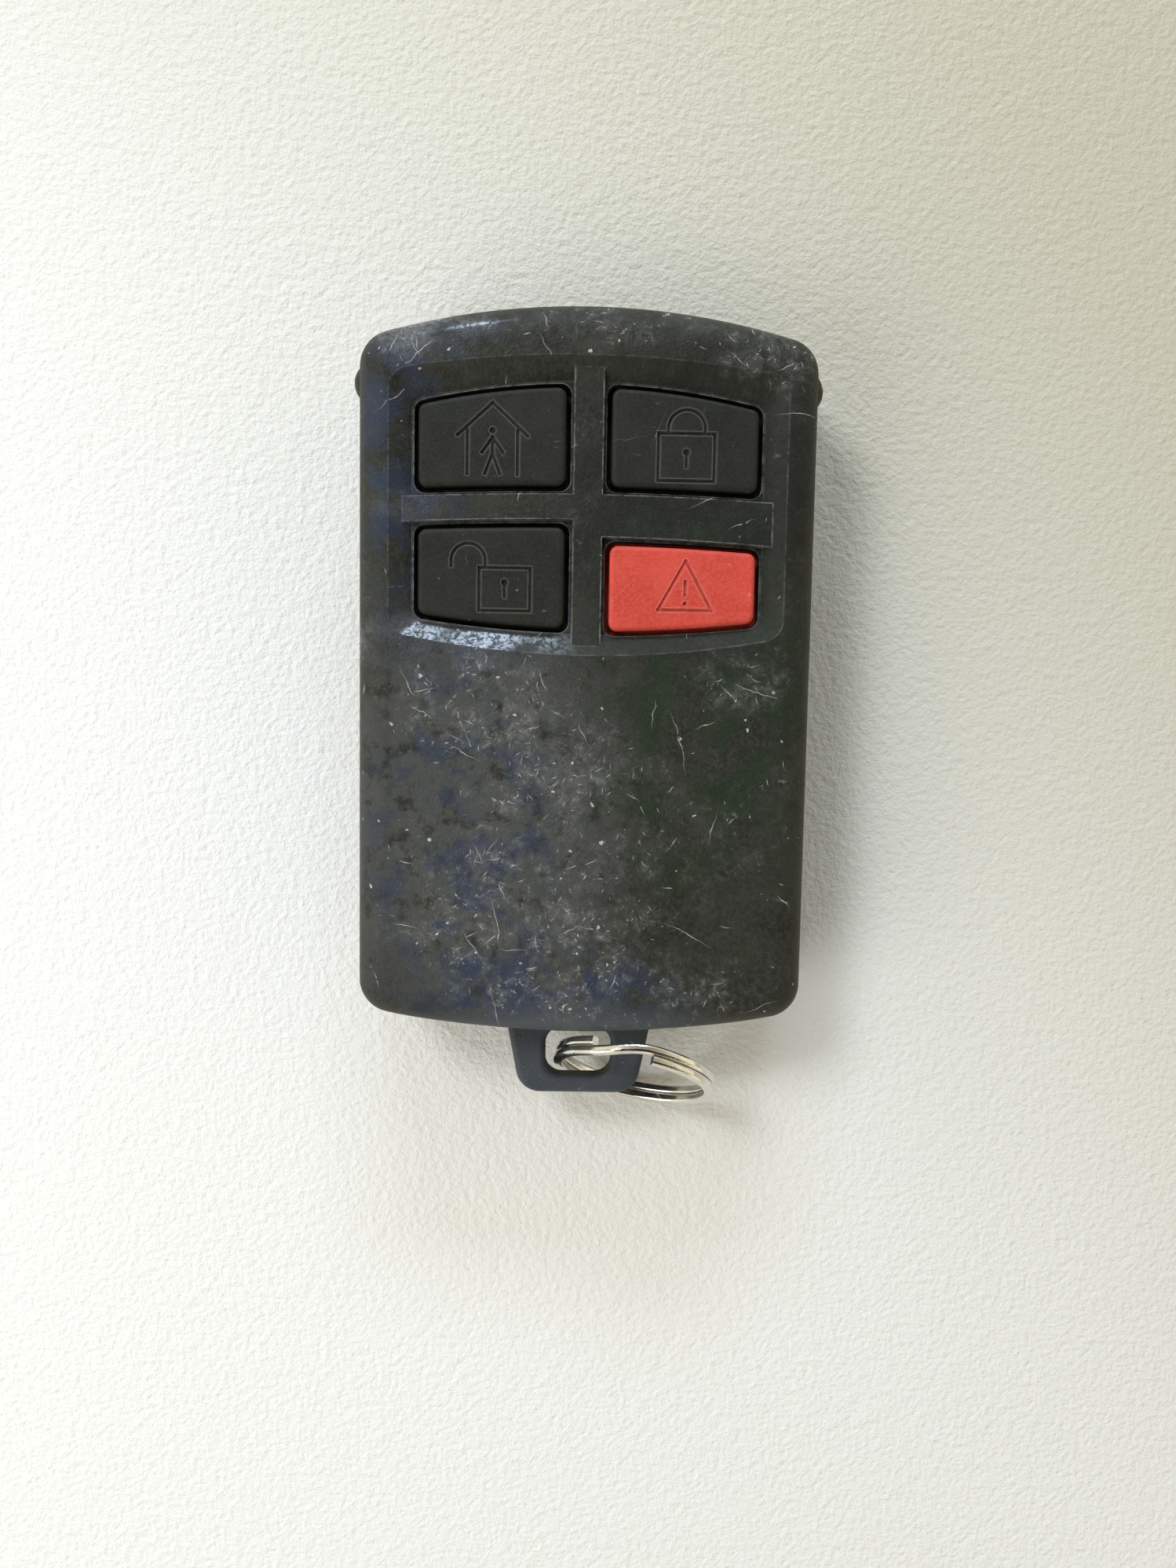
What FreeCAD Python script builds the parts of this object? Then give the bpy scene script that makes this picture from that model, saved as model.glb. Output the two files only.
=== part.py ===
"""Four-key alarm remote (key fob) with its split ring, in millimetres.

Frame: X is the width, Y the length (keys toward +Y, key loop toward -Y) and Z goes up
out of the front face. The origin is the middle of the flat rear rest face.
"""
import FreeCAD, Part
import math
import os

V = FreeCAD.Vector
UP = V(0, 0, 1)
PAST = 2.0                # how far a cutter reaches past what it cuts
BEYOND = 40.0             # half side of a block that holds the whole housing

# ---------------------------------------------------------------- housing
WIDTH = 38.0
LENGTH = 61.2
THICKNESS = 13.0
TOP_ARC = 62.5            # radius of the arched key end
BOTTOM_ARC = 80.0         # radius of the arched loop end
CORNER = 3.0
FRONT_ROUND = 2.5         # round-over of the front face
LOOP_END_ROUND = 3.3      # the same, over the middle of the loop end
LOOP_END_SPANS = 3        # the loop end's edge is split so; its middle span has that round
LOOP_END_HALF = 7.0       # the middle span ends within this distance of the centre line
LEAST_CORNER = 0.6        # corner of an outline moved far inward
REAR_ROUND = 1.2
WALL = 1.5
FLOOR = 1.6               # rear shell floor
PARTING = 7.5             # height of the joint between the shells
LIP_HEIGHT = 1.1
LIP_THICKNESS = 0.8
LIP_GAP = 0.1
SEAM = 0.15               # shadow line left open between the shells
LIP_ROOT = 1.6            # the lip and its collar start this far below the parting line
COLLAR_TOP = 0.6          # and the collar ends this far below it
DEEP_END = 0.5            # on the loop's side of this line the front shell is hollowed deeper
DEEP_STEP = 0.6           # and its side walls are this much thicker there
ROOT = 0.4                # how deep a post or wall is rooted in the rear shell's floor

# ---------------------------------------------------------------- key well and web
WELL_DEPTH = 1.0
WELL_RIM = dict(half=16.3, top=(26.2, 90.0), bottom=(2.0, -80.0), corner=1.8)
WELL_BED = dict(half=14.5, top=(24.3, 62.0), bottom=(3.7, -100.0), corner=1.0)
WEB_DROP = 0.45           # web between the keys, below the front face
WEB_HALF = 1.2
WEB_END_GAP = 0.4         # from the web's side ends to the well's rim
WEB_TOP_GAP = 0.3
WEB_BOTTOM_GAP = 0.5
WEB_KEY_GAP = 0.65        # from the web's level arms to the keys' outlines
KEY_PLATE = 1.3           # shell thickness under the well

# ---------------------------------------------------------------- keys
KEY_INNER = 1.87          # distance of the key's near edge from the centre line
KEY_OUTER = 13.92
KEY_CORNER = 0.7
KEY_GAP = 0.4
KEY_TOP = 12.7
KEY_ROUND = 0.4
FLANGE = 0.9              # retaining flange, beyond the key's own outline
FLANGE_THICKNESS = 0.6
FLANGE_GAP = 0.06
KEY_TRAVEL = 0.25
STEM_DIAMETER = 3.0
GROOVE = 0.3              # width of an engraved line
GROOVE_DEPTH = 0.2
DOT = 0.6                 # diameter of a keyhole

# each key: side, its upper edge and its lower edge as (height on the centre line, radius);
# a negative radius bends the edge the other way
KEYS = {
    "stay": dict(side=-1, upper=(23.73, 60.0), lower=(15.83, 260.0), switch=(-7.9, 19.4)),
    "arm": dict(side=1, upper=(23.73, 60.0), lower=(15.83, 260.0), switch=(7.9, 19.4)),
    "disarm": dict(side=-1, upper=(12.45, 270.0), lower=(4.21, -95.0), switch=(-7.9, 8.4)),
    "panic": dict(side=1, upper=(11.06, 200.0), lower=(4.02, -109.0), switch=(7.9, 7.7)),
}

# ---------------------------------------------------------------- board and switches
BOARD_BOTTOM = 6.4
BOARD_THICKNESS = 1.0
BOARD_INSET = 2.75        # from the housing outline
BOARD_HOLE = 4.6          # clearance hole for the screw boss
POST_PLACES = [(-14.2, 0.6), (14.2, 0.6), (-14.2, -24.5), (14.2, -24.5), (0, 26.0)]
REAR_POST = 2.2           # diameters of the posts below and above the board
FRONT_POST = 1.8
SWITCH_SIDE = 5.2
SWITCH_HEIGHT = 2.0       # board to plunger top
SWITCH_BODY = 1.5
COVER_THICKNESS = 0.2
PLUNGER_DIAMETER = 2.4
PLUNGER_FLANGE = 3.0
PLUNGER_HOLE = 2.6
SWITCH_CAVITY = 3.8
SWITCH_FLOOR = 0.35
DOME_CROWN = 0.28
DOME_RIM = 0.2            # the dome's bed is this much narrower than the cavity, all round
DOME_SHEET = 0.07
PLUNGER_PLAY = 0.05       # under the cover
PLUNGER_REST = 0.01       # over the dome

# ---------------------------------------------------------------- power
CELL_DIAMETER = 20.0      # CR2032 coin cell
CELL_HEIGHT = 3.2
CELL_Y = -9.0
CONTACT = 0.25            # contact sheet thickness
CAN_LIP = 0.35            # the can ends this far below the cap's face
CAN_WALL = 0.3
CAN_ROUND = 0.4
GASKET_WALL = 0.6
GASKET_LIP = 0.2
CAP_ROUND = 0.5
CELL_ROOM = 1.0           # wider than the cell, for the wall that holds it
CELL_WALL = 1.0
CELL_WALL_DROP = 1.6      # from the board to that wall's top
BRIDGE_WIDTH = 4.0
BRIDGE_OUT = 1.0          # the bridge passes the cell by this much at each side
BRIDGE_FOOT = 1.4
BRIDGE_GAP = 1.4          # opening in the wall, beyond the bridge at each side
NEGATIVE_DIAMETER = 9.0

# ---------------------------------------------------------------- screw
SCREW_Y = -25.0
SCREW_DIAMETER = 1.9
SCREW_HEAD = 3.6
HEAD_HEIGHT = 1.2
BOSS_DIAMETER = 4.0
REAR_BOSS = 5.4
BOSS_REST = 0.3           # the two bosses meet this far below the board
HEAD_SEAT = 2.0           # height of the head's inner face
HEAD_ROUND = 0.35
SCREW_SLACK = 0.5         # holes are wider than the screw by this
POINT_GAP = 2.0           # from the screw's point to the front wall
POINT_CHAMFER = 0.5
THREAD_SLACK = 0.1
RECESS_ARM = 1.05         # half length of the cross recess
RECESS_HALF = 0.22
RECESS_DEPTH = 0.6

# ---------------------------------------------------------------- key loop and side pips
LOOP_BOTTOM = 5.2
LOOP_TOP = 7.4
LOOP_ROOT = 13.6          # width where it leaves the rear shell
LOOP_END = 10.4           # width near the free end
LOOP_REACH = 37.2         # free end, from the origin
LOOP_CORNER = 2.2
SLOT_WIDTH = 5.9
SLOT_NEAR = 31.2
SLOT_FAR = 35.6
SLOT_CORNER = 1.5
LOOP_ROUND = 0.6
PIP_Y = 24.4
PIP_Z = 9.1
PIP_RADIUS = 1.45
PIP_HEIGHT = 0.7

# ---------------------------------------------------------------- split ring
RING_OUTER = 14.8
RING_RADIAL = 0.95        # wire section, in the ring's plane
RING_AXIAL = 0.78         # wire section, across it
RING_ROUND = 0.25
RING_PITCH = 0.82         # distance between the two turns
RING_CUT = 80.0           # where the front turn's cut end lies, in degrees
RING_JOG = 44.0           # length of the cross-over, in degrees
RING_CENTRE = V(5.1, -35.25, 6.83)
RING_YAW = -10.5          # the ring's level diameter, turned from X in plan
RING_SLOPE = 5.7          # and raised at its free side
RING_LEAN = 58.0          # rise of the ring's plane toward the housing


def box(x0, x1, y0, y1, z0, z1):
    """An upright block between two corners."""
    return Part.makeBox(x1 - x0, y1 - y0, z1 - z0, V(x0, y0, z0))


def slab(z0, z1, y1=BEYOND):
    """A block over the whole housing between two heights, up to y1."""
    return box(-BEYOND, BEYOND, -BEYOND, y1, z0, z1)


def rod(x, y, z0, z1, diameter):
    """An upright cylinder."""
    return Part.makeCylinder(diameter / 2, z1 - z0, V(x, y, z0))


def tube(x, y, z0, z1, outer, inner):
    """An upright cylinder with a bore."""
    return rod(x, y, z0, z1, outer).cut(rod(x, y, z0, z1, inner))


def upright_edges(solid):
    """The straight corner edges of a prism that run along Z."""
    found = []
    for edge in solid.Edges:
        a, b = edge.Vertexes[0].Point, edge.Vertexes[-1].Point
        upright = abs(a.z - b.z) > 1e-6 and math.hypot(a.x - b.x, a.y - b.y) < 1e-6
        sides = [f.normalAt(*f.Surface.parameter(a)) for f in solid.ancestorsOfType(edge, Part.Face)]
        if upright and len(sides) == 2 and abs(sides[0].dot(sides[1])) < 0.999:
            found.append(edge)
    return found


def level_edges(solid, z):
    """The edges of a solid that lie at one height."""
    return [e for e in solid.Edges if all(abs(p.z - z) < 1e-5 for p in e.discretize(3))]


def bow(apex, radius, shift, x):
    """Height at x of an arc about the centre line, moved outward by shift."""
    centre = apex - radius
    moved = radius + shift
    return centre + math.copysign(math.sqrt(moved * moved - x * x), moved)


def bowed_prism(x0, x1, upper, lower, grow, corner, z0, z1, spans=2):
    """A prism with straight sides and arched upper and lower edges.

    upper and lower are (height on the centre line, radius); grow moves every side out. The
    lower edge is that many equal spans of one arc.
    """
    x0, x1 = x0 - grow, x1 + grow
    top = [V(x, bow(*upper, grow, x), z0) for x in (x0, (x0 + x1) / 2, x1)]
    across = [x1 + (x0 - x1) * step / (2 * spans) for step in range(2 * spans + 1)]
    low = [V(x, bow(*lower, -grow, x), z0) for x in across]
    edges = [Part.Arc(*top).toShape(), Part.LineSegment(top[2], low[0]).toShape()]
    edges += [Part.Arc(*low[2 * n:2 * n + 3]).toShape() for n in range(spans)]
    edges.append(Part.LineSegment(low[-1], top[0]).toShape())
    prism = Part.Face(Part.Wire(edges)).extrude(V(0, 0, z1 - z0))
    return prism.makeFillet(corner, upright_edges(prism)) if corner > 0 else prism


def housing_prism(inset, z0, z1, spans=2):
    """The housing's outline, moved inward by inset, between two heights."""
    half = WIDTH / 2
    upper = (LENGTH / 2, TOP_ARC)
    lower = (-LENGTH / 2, -BOTTOM_ARC)
    corner = max(CORNER - inset, LEAST_CORNER)
    return bowed_prism(-half, half, upper, lower, -inset, corner, z0, z1, spans)


def front_rounds(body):
    """The front face's edges as (number, first radius, last radius)."""
    rounds = []
    for number, edge in enumerate(body.Edges, 1):
        ends = [edge.valueAt(edge.FirstParameter), edge.valueAt(edge.LastParameter)]
        if all(abs(p.z - THICKNESS) < 1e-5 for p in ends + [edge.CenterOfMass]):
            wide = [abs(p.x) < LOOP_END_HALF and p.y < 0 for p in ends]
            rounds.append((number, *(LOOP_END_ROUND if w else FRONT_ROUND for w in wide)))
    return rounds


def housing_body():
    """The closed outer body: the loop end's front edge is rounded more, toward its middle."""
    body = housing_prism(0, 0, THICKNESS, LOOP_END_SPANS)
    body = body.makeFillet(REAR_ROUND, level_edges(body, 0))
    document = FreeCAD.newDocument("housing")
    blank = document.addObject("Part::Feature", "blank")
    blank.Shape = body
    rounded = document.addObject("Part::Fillet", "rounded")
    rounded.Base = blank
    rounded.Edges = front_rounds(body)
    document.recompute()
    return rounded.Shape.copy()


def key_prism(key, grow, z0, z1):
    """A key's outline, moved outward by grow, between two heights."""
    spec = KEYS[key]
    xs = sorted((spec["side"] * KEY_INNER, spec["side"] * KEY_OUTER))
    return bowed_prism(*xs, spec["upper"], spec["lower"], grow, KEY_CORNER + grow / 2, z0, z1)


def well_wire(shape, z):
    """The closed outline of the well at one height."""
    half = shape["half"]
    prism = bowed_prism(-half, half, shape["top"], shape["bottom"], 0, shape["corner"], z, z + 1)
    return min(prism.Faces, key=lambda f: f.CenterOfMass.z).OuterWire


def well_cut():
    """The dished recess that the keys stand in."""
    bed = THICKNESS - WELL_DEPTH
    return Part.makeLoft([well_wire(WELL_BED, bed), well_wire(WELL_RIM, THICKNESS)], True, True)


def web():
    """The raised cross between the four keys."""
    top = THICKNESS - WEB_DROP
    low = THICKNESS - WELL_DEPTH - KEY_PLATE / 2
    half = WELL_RIM["half"] - WEB_END_GAP
    y0 = WELL_RIM["bottom"][0] + WEB_BOTTOM_GAP
    post = box(-WEB_HALF, WEB_HALF, y0, WELL_RIM["top"][0] - WEB_TOP_GAP, low, top)
    gap = -WEB_KEY_GAP
    left = bowed_prism(-half, 0, KEYS["stay"]["lower"], KEYS["disarm"]["upper"], gap, 0, low, top)
    right = bowed_prism(0, half, KEYS["arm"]["lower"], KEYS["panic"]["upper"], gap, 0, low, top)
    return post.fuse([left, right])


def side_pip(side):
    """A shallow domed pip on one side wall."""
    ball = (PIP_RADIUS ** 2 + PIP_HEIGHT ** 2) / (2 * PIP_HEIGHT)
    centre = V(side * (WIDTH / 2 + PIP_HEIGHT - ball), PIP_Y, PIP_Z)
    inner = WIDTH / 2 - WALL / 2
    x0, x1 = sorted((side * inner, side * (inner + PAST)))
    keep = box(x0, x1, PIP_Y - PAST, PIP_Y + PAST, PARTING + SEAM / 2, PIP_Z + PAST)
    return Part.makeSphere(ball, centre).common(keep)


def board_posts(z0, z1, diameter):
    """Five posts that hold the board near its edge."""
    return [rod(x, y, z0, z1, diameter) for x, y in POST_PLACES]


def front_shell(body):
    """The front shell with its key well, key holes, posts and screw boss."""
    shell = body.common(slab(PARTING + SEAM / 2, THICKNESS))
    inside = THICKNESS - WALL
    plate_bottom = THICKNESS - WELL_DEPTH - KEY_PLATE
    hollow = housing_prism(WALL, PARTING - PAST, plate_bottom)
    deep = housing_prism(WALL + DEEP_STEP, PARTING, inside).common(slab(0, THICKNESS, DEEP_END))
    shell = shell.cut(hollow.fuse(deep))
    shell = shell.cut(well_cut())
    shell = shell.fuse(web())
    for side in (-1, 1):
        shell = shell.fuse(side_pip(side))
    board_top = BOARD_BOTTOM + BOARD_THICKNESS
    shell = shell.fuse(board_posts(board_top, inside + WALL / 2, FRONT_POST))
    boss = tube(0, SCREW_Y, BOARD_BOTTOM - BOSS_REST, inside + WALL / 2, BOSS_DIAMETER,
                SCREW_DIAMETER + THREAD_SLACK)
    shell = shell.fuse(boss)
    for key in KEYS:
        shell = shell.cut(key_prism(key, KEY_GAP, plate_bottom - SEAM, THICKNESS + PAST))
    return shell.removeSplitter()


def key_loop():
    """The flat loop that the ring passes through, at the rear shell's lower end."""
    root_y = -LENGTH / 2 + WALL
    points = [V(-LOOP_ROOT / 2, root_y, LOOP_BOTTOM), V(LOOP_ROOT / 2, root_y, LOOP_BOTTOM),
              V(LOOP_END / 2, -LOOP_REACH, LOOP_BOTTOM), V(-LOOP_END / 2, -LOOP_REACH, LOOP_BOTTOM)]
    plate = Part.Face(Part.makePolygon(points + points[:1])).extrude(UP * (LOOP_TOP - LOOP_BOTTOM))
    free = [e for e in upright_edges(plate) if e.CenterOfMass.y < root_y - WALL / 2]
    plate = plate.makeFillet(LOOP_CORNER, free)
    low, top = LOOP_BOTTOM - PAST, LOOP_TOP + PAST
    slot = box(-SLOT_WIDTH / 2, SLOT_WIDTH / 2, -SLOT_FAR, -SLOT_NEAR, low, top)
    slot = slot.makeFillet(SLOT_CORNER, upright_edges(slot))
    plate = plate.cut(slot)
    rims = [e for e in level_edges(plate, LOOP_TOP) + level_edges(plate, LOOP_BOTTOM)
            if e.CenterOfMass.y < root_y - WALL / 4]
    return plate.makeFillet(LOOP_ROUND, rims)


def rear_shell(body):
    """The rear shell with its lip, board posts, cell walls, screw boss and key loop."""
    shell = body.common(slab(0, PARTING - SEAM / 2))
    shell = shell.cut(housing_prism(WALL, FLOOR, PARTING + PAST))
    lip_out = WALL + LIP_GAP
    bore = housing_prism(lip_out + LIP_THICKNESS, PARTING - PAST, PARTING + PAST)
    lip = housing_prism(lip_out, PARTING - LIP_ROOT, PARTING + LIP_HEIGHT)
    collar = housing_prism(WALL / 2, PARTING - LIP_ROOT, PARTING - COLLAR_TOP)
    shell = shell.fuse([lip.cut(bore), collar.cut(bore)])
    low = FLOOR - ROOT
    shell = shell.fuse(board_posts(low, BOARD_BOTTOM, REAR_POST))
    boss = rod(0, SCREW_Y, low, BOARD_BOTTOM - BOSS_REST, REAR_BOSS)
    bed = CELL_DIAMETER + CELL_ROOM
    cell_wall = tube(0, CELL_Y, low, BOARD_BOTTOM - CELL_WALL_DROP, bed + 2 * CELL_WALL, bed)
    reach = BRIDGE_WIDTH / 2 + BRIDGE_GAP
    side_gap = box(-bed, bed, CELL_Y - reach, CELL_Y + reach, FLOOR, BOARD_BOTTOM)
    shell = shell.fuse([boss, cell_wall.cut(side_gap), key_loop()])
    shell = shell.cut(rod(0, SCREW_Y, -PAST, BOARD_BOTTOM + PAST, SCREW_DIAMETER + SCREW_SLACK))
    shell = shell.cut(rod(0, SCREW_Y, -PAST, HEAD_SEAT, SCREW_HEAD + SCREW_SLACK))
    return shell.removeSplitter()


def case_screw():
    """The self-tapping screw, with a cross recess in its domed head."""
    face = HEAD_SEAT - HEAD_HEIGHT
    head = rod(0, SCREW_Y, face, HEAD_SEAT, SCREW_HEAD)
    head = head.makeFillet(HEAD_ROUND, level_edges(head, face))
    point = THICKNESS - WALL - POINT_GAP
    shank = rod(0, SCREW_Y, face + HEAD_HEIGHT / 2, point, SCREW_DIAMETER)
    shank = shank.makeChamfer(POINT_CHAMFER, level_edges(shank, point))
    arm, half, deep = RECESS_ARM, RECESS_HALF, face + RECESS_DEPTH
    recess = box(-arm, arm, SCREW_Y - half, SCREW_Y + half, 0, deep)
    cross = box(-half, half, SCREW_Y - arm, SCREW_Y + arm, 0, deep)
    return head.fuse(shank).cut(recess.fuse(cross)).removeSplitter()


def groove(p, q):
    """The cutter of one straight engraved line between two plan points."""
    length = math.dist(p, q)
    cut = Part.makeBox(length + GROOVE, GROOVE, 1, V(-GROOVE / 2, -GROOVE / 2, KEY_TOP - GROOVE_DEPTH))
    cut.rotate(V(0, 0, 0), UP, math.degrees(math.atan2(q[1] - p[1], q[0] - p[0])))
    cut.translate(V(p[0], p[1], 0))
    return cut


def path_grooves(*points):
    """Cutters for a run of straight engraved lines."""
    return [groove(p, q) for p, q in zip(points, points[1:])]


def arch_groove(centre, radius):
    """The cutter of a half circle, open downward."""
    low = KEY_TOP - GROOVE_DEPTH
    ring = tube(*centre, low, low + 1, 2 * radius + GROOVE, 2 * radius - GROOVE)
    x, y = centre
    half = 2 * radius
    return ring.common(box(x - half, x + half, y, y + half, low, low + 1))


def dot(centre, diameter):
    """The cutter of a small engraved dot."""
    return rod(*centre, KEY_TOP - GROOVE_DEPTH, KEY_TOP + 1, diameter)


def rectangle_grooves(x0, x1, y0, y1):
    """Cutters for an engraved rectangle."""
    return path_grooves((x0, y0), (x1, y0), (x1, y1), (x0, y1), (x0, y0))


def house_symbol(x, y):
    """A house with a walking figure in it, about the key's middle."""
    roof = path_grooves((x - 2.85, y + 0.35), (x, y + 2.95), (x + 2.85, y + 0.35))
    walls = path_grooves((x - 2.05, y + 0.75), (x - 2.05, y - 2.75))
    walls += path_grooves((x + 2.05, y + 0.75), (x + 2.05, y - 2.75))
    figure = [dot((x, y + 0.75), 0.55)]
    figure += path_grooves((x, y + 0.2), (x, y - 1.1))
    figure += path_grooves((x - 0.85, y - 1.0), (x, y + 0.2), (x + 0.85, y - 1.0))
    figure += path_grooves((x - 0.6, y - 2.7), (x, y - 1.1), (x + 0.6, y - 2.7))
    return roof + walls + figure


def keyhole(x, y):
    """Cutters for a keyhole."""
    return [dot((x, y), DOT)] + path_grooves((x, y), (x, y - 1.15))


def closed_lock_symbol(x, y):
    """A closed padlock."""
    body = rectangle_grooves(x - 2.3, x + 2.3, y - 2.85, y + 0.95)
    legs = path_grooves((x - 1.5, y + 0.95), (x - 1.5, y + 1.35))
    legs += path_grooves((x + 1.5, y + 0.95), (x + 1.5, y + 1.35))
    return body + legs + [arch_groove((x, y + 1.35), 1.5)] + keyhole(x, y - 0.55)


def open_lock_symbol(x, y):
    """An open padlock, its shackle swung out to the left."""
    body = rectangle_grooves(x - 0.85, x + 3.35, y - 2.85, y + 0.65)
    legs = path_grooves((x - 3.15, y + 0.75), (x - 3.15, y + 1.2))
    legs += path_grooves((x - 0.35, y + 0.65), (x - 0.35, y + 1.2))
    return body + legs + [arch_groove((x - 1.75, y + 1.2), 1.4)] + keyhole(x + 1.25, y - 0.55)


def warning_symbol(x, y):
    """A warning triangle with a bar and a dot."""
    low = y - 1.75
    triangle = path_grooves((x - 2.2, low), (x, y + 2.25), (x + 2.2, low), (x - 2.2, low))
    return triangle + path_grooves((x, y + 0.6), (x, y - 0.5)) + [dot((x, y - 1.2), 0.4)]


SYMBOLS = {
    "stay": (house_symbol, -7.85, 19.35),
    "arm": (closed_lock_symbol, 8.0, 19.2),
    "disarm": (open_lock_symbol, -8.0, 8.4),
    "panic": (warning_symbol, 8.15, 7.6),
}


def key_cap(key):
    """A key with its symbol, its retaining flange and its stem."""
    flange_top = THICKNESS - WELL_DEPTH - KEY_PLATE - FLANGE_GAP
    cap = key_prism(key, 0, flange_top - 0.1, KEY_TOP)
    cap = cap.makeFillet(KEY_ROUND, level_edges(cap, KEY_TOP))
    flange = key_prism(key, FLANGE, flange_top - FLANGE_THICKNESS, flange_top)
    x, y = KEYS[key]["switch"]
    plunger_top = BOARD_BOTTOM + BOARD_THICKNESS + SWITCH_HEIGHT
    stem = rod(x, y, plunger_top, flange_top, STEM_DIAMETER)
    symbol, sx, sy = SYMBOLS[key]
    cap = cap.fuse([flange, stem]).removeSplitter()
    cutters = symbol(sx, sy)
    return cap.cut(cutters[0].fuse(cutters[1:]))


def switch_parts(key):
    """The four pieces of one tactile switch under its key."""
    x, y = KEYS[key]["switch"]
    z = BOARD_BOTTOM + BOARD_THICKNESS
    half = SWITCH_SIDE / 2
    roof = z + SWITCH_BODY - COVER_THICKNESS
    base = box(x - half, x + half, y - half, y + half, z, roof)
    bed = z + SWITCH_FLOOR
    base = base.cut(rod(x, y, bed, roof, SWITCH_CAVITY))
    cover = box(x - half, x + half, y - half, y + half, roof, z + SWITCH_BODY)
    cover = cover.cut(rod(x, y, roof, z + SWITCH_BODY, PLUNGER_HOLE))
    ball = ((SWITCH_CAVITY / 2 - DOME_RIM) ** 2 + DOME_CROWN ** 2) / (2 * DOME_CROWN)
    centre = V(x, y, bed + DOME_CROWN - ball)
    dome = Part.makeSphere(ball, centre).cut(Part.makeSphere(ball - DOME_SHEET, centre))
    dome = dome.common(rod(x, y, bed, roof, SWITCH_CAVITY))
    foot = bed + DOME_CROWN + PLUNGER_REST
    plunger = rod(x, y, foot, roof - PLUNGER_PLAY, PLUNGER_FLANGE)
    plunger = plunger.fuse(rod(x, y, foot, z + SWITCH_HEIGHT, PLUNGER_DIAMETER)).removeSplitter()
    return {"base": base, "cover": cover, "dome": dome, "plunger": plunger}


def circuit_board():
    """The board, with its clearance hole for the screw boss."""
    board = housing_prism(BOARD_INSET, BOARD_BOTTOM, BOARD_BOTTOM + BOARD_THICKNESS)
    return board.cut(rod(0, SCREW_Y, 0, THICKNESS, BOARD_HOLE))


def cell_parts():
    """The coin cell as its can, its cap and the gasket between them."""
    top = BOARD_BOTTOM - CONTACT
    low = top - CELL_HEIGHT
    floor = low + CAN_WALL
    outer = CELL_DIAMETER - 2 * CAN_WALL
    inner = outer - 2 * GASKET_WALL
    can = rod(0, CELL_Y, low, top - CAN_LIP, CELL_DIAMETER)
    can = can.makeFillet(CAN_ROUND, level_edges(can, low))
    can = can.cut(rod(0, CELL_Y, floor, top, outer))
    gasket = tube(0, CELL_Y, floor, top - GASKET_LIP, outer, inner)
    cap = rod(0, CELL_Y, floor, top, inner)
    cap = cap.makeFillet(CAP_ROUND, level_edges(cap, top))
    return {"cell_can": can, "cell_gasket": gasket, "cell_cap": cap}


def positive_contact():
    """The sprung bridge under the cell, with its two legs up to the board."""
    low = BOARD_BOTTOM - CONTACT - CELL_HEIGHT - CONTACT
    half = CELL_DIAMETER / 2 + BRIDGE_OUT
    y0, y1 = CELL_Y - BRIDGE_WIDTH / 2, CELL_Y + BRIDGE_WIDTH / 2
    parts = [box(-half, half, y0, y1, low, low + CONTACT)]
    for side in (-1, 1):
        edge = side * half
        inner = edge - side * CONTACT
        leg = box(min(edge, inner), max(edge, inner), y0, y1, low, BOARD_BOTTOM)
        out = edge + side * BRIDGE_FOOT
        foot = box(min(edge, out), max(edge, out), y0, y1, BOARD_BOTTOM - CONTACT, BOARD_BOTTOM)
        parts += [leg, foot]
    return parts[0].fuse(parts[1:]).removeSplitter()


def negative_contact():
    """The round contact between the board and the cell's cap."""
    return rod(0, CELL_Y, BOARD_BOTTOM - CONTACT, BOARD_BOTTOM, NEGATIVE_DIAMETER)


def chip(x, y, sx, sy, height):
    """A small block that stands on the board."""
    z = BOARD_BOTTOM + BOARD_THICKNESS
    return box(x - sx / 2, x + sx / 2, y - sy / 2, y + sy / 2, z, z + height)


def microcontroller():
    """The encoder chip's moulded body and its two rows of leads."""
    x, y, sx, sy = -4.5, -9.0, 6.5, 4.4
    z = BOARD_BOTTOM + BOARD_THICKNESS
    body = box(x - sx / 2, x + sx / 2, y - sy / 2, y + sy / 2, z + 0.15, z + 1.1)
    body = body.makeChamfer(0.12, level_edges(body, z + 1.1))
    body = body.cut(rod(x - sx / 2 + 0.8, y - sy / 2 + 0.8, z + 1.0, z + 2, 0.6))
    leads = []
    pitch, count = 0.65, 10
    for row in (-1, 1):
        wall = y + row * sy / 2
        for index in range(count):
            lead_x = x + (index - (count - 1) / 2) * pitch
            shoulder = wall + row * 0.35
            tip = wall + row * 1.0
            upper = box(lead_x - 0.12, lead_x + 0.12, min(wall, shoulder), max(wall, shoulder),
                        z, z + 0.65)
            toe = box(lead_x - 0.12, lead_x + 0.12, min(shoulder, tip), max(shoulder, tip), z, z + 0.15)
            leads.append(upper.fuse(toe).removeSplitter())
    return body, Part.makeCompound(leads)


def resonator():
    """The radio resonator's metal can."""
    can = chip(6.5, -8.5, 3.8, 3.8, 1.4)
    can = can.makeFillet(0.5, upright_edges(can))
    return can.makeFillet(0.2, level_edges(can, BOARD_BOTTOM + BOARD_THICKNESS + 1.4))


def crystal():
    """The timing crystal's can."""
    can = chip(-4.5, -15.0, 3.2, 2.5, 0.8)
    return can.makeFillet(0.4, upright_edges(can))


def chip_row(places, sx, sy, height):
    """Small chips at several places, as one group."""
    return Part.makeCompound([chip(x, y, sx, sy, height) for x, y in places])


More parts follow.
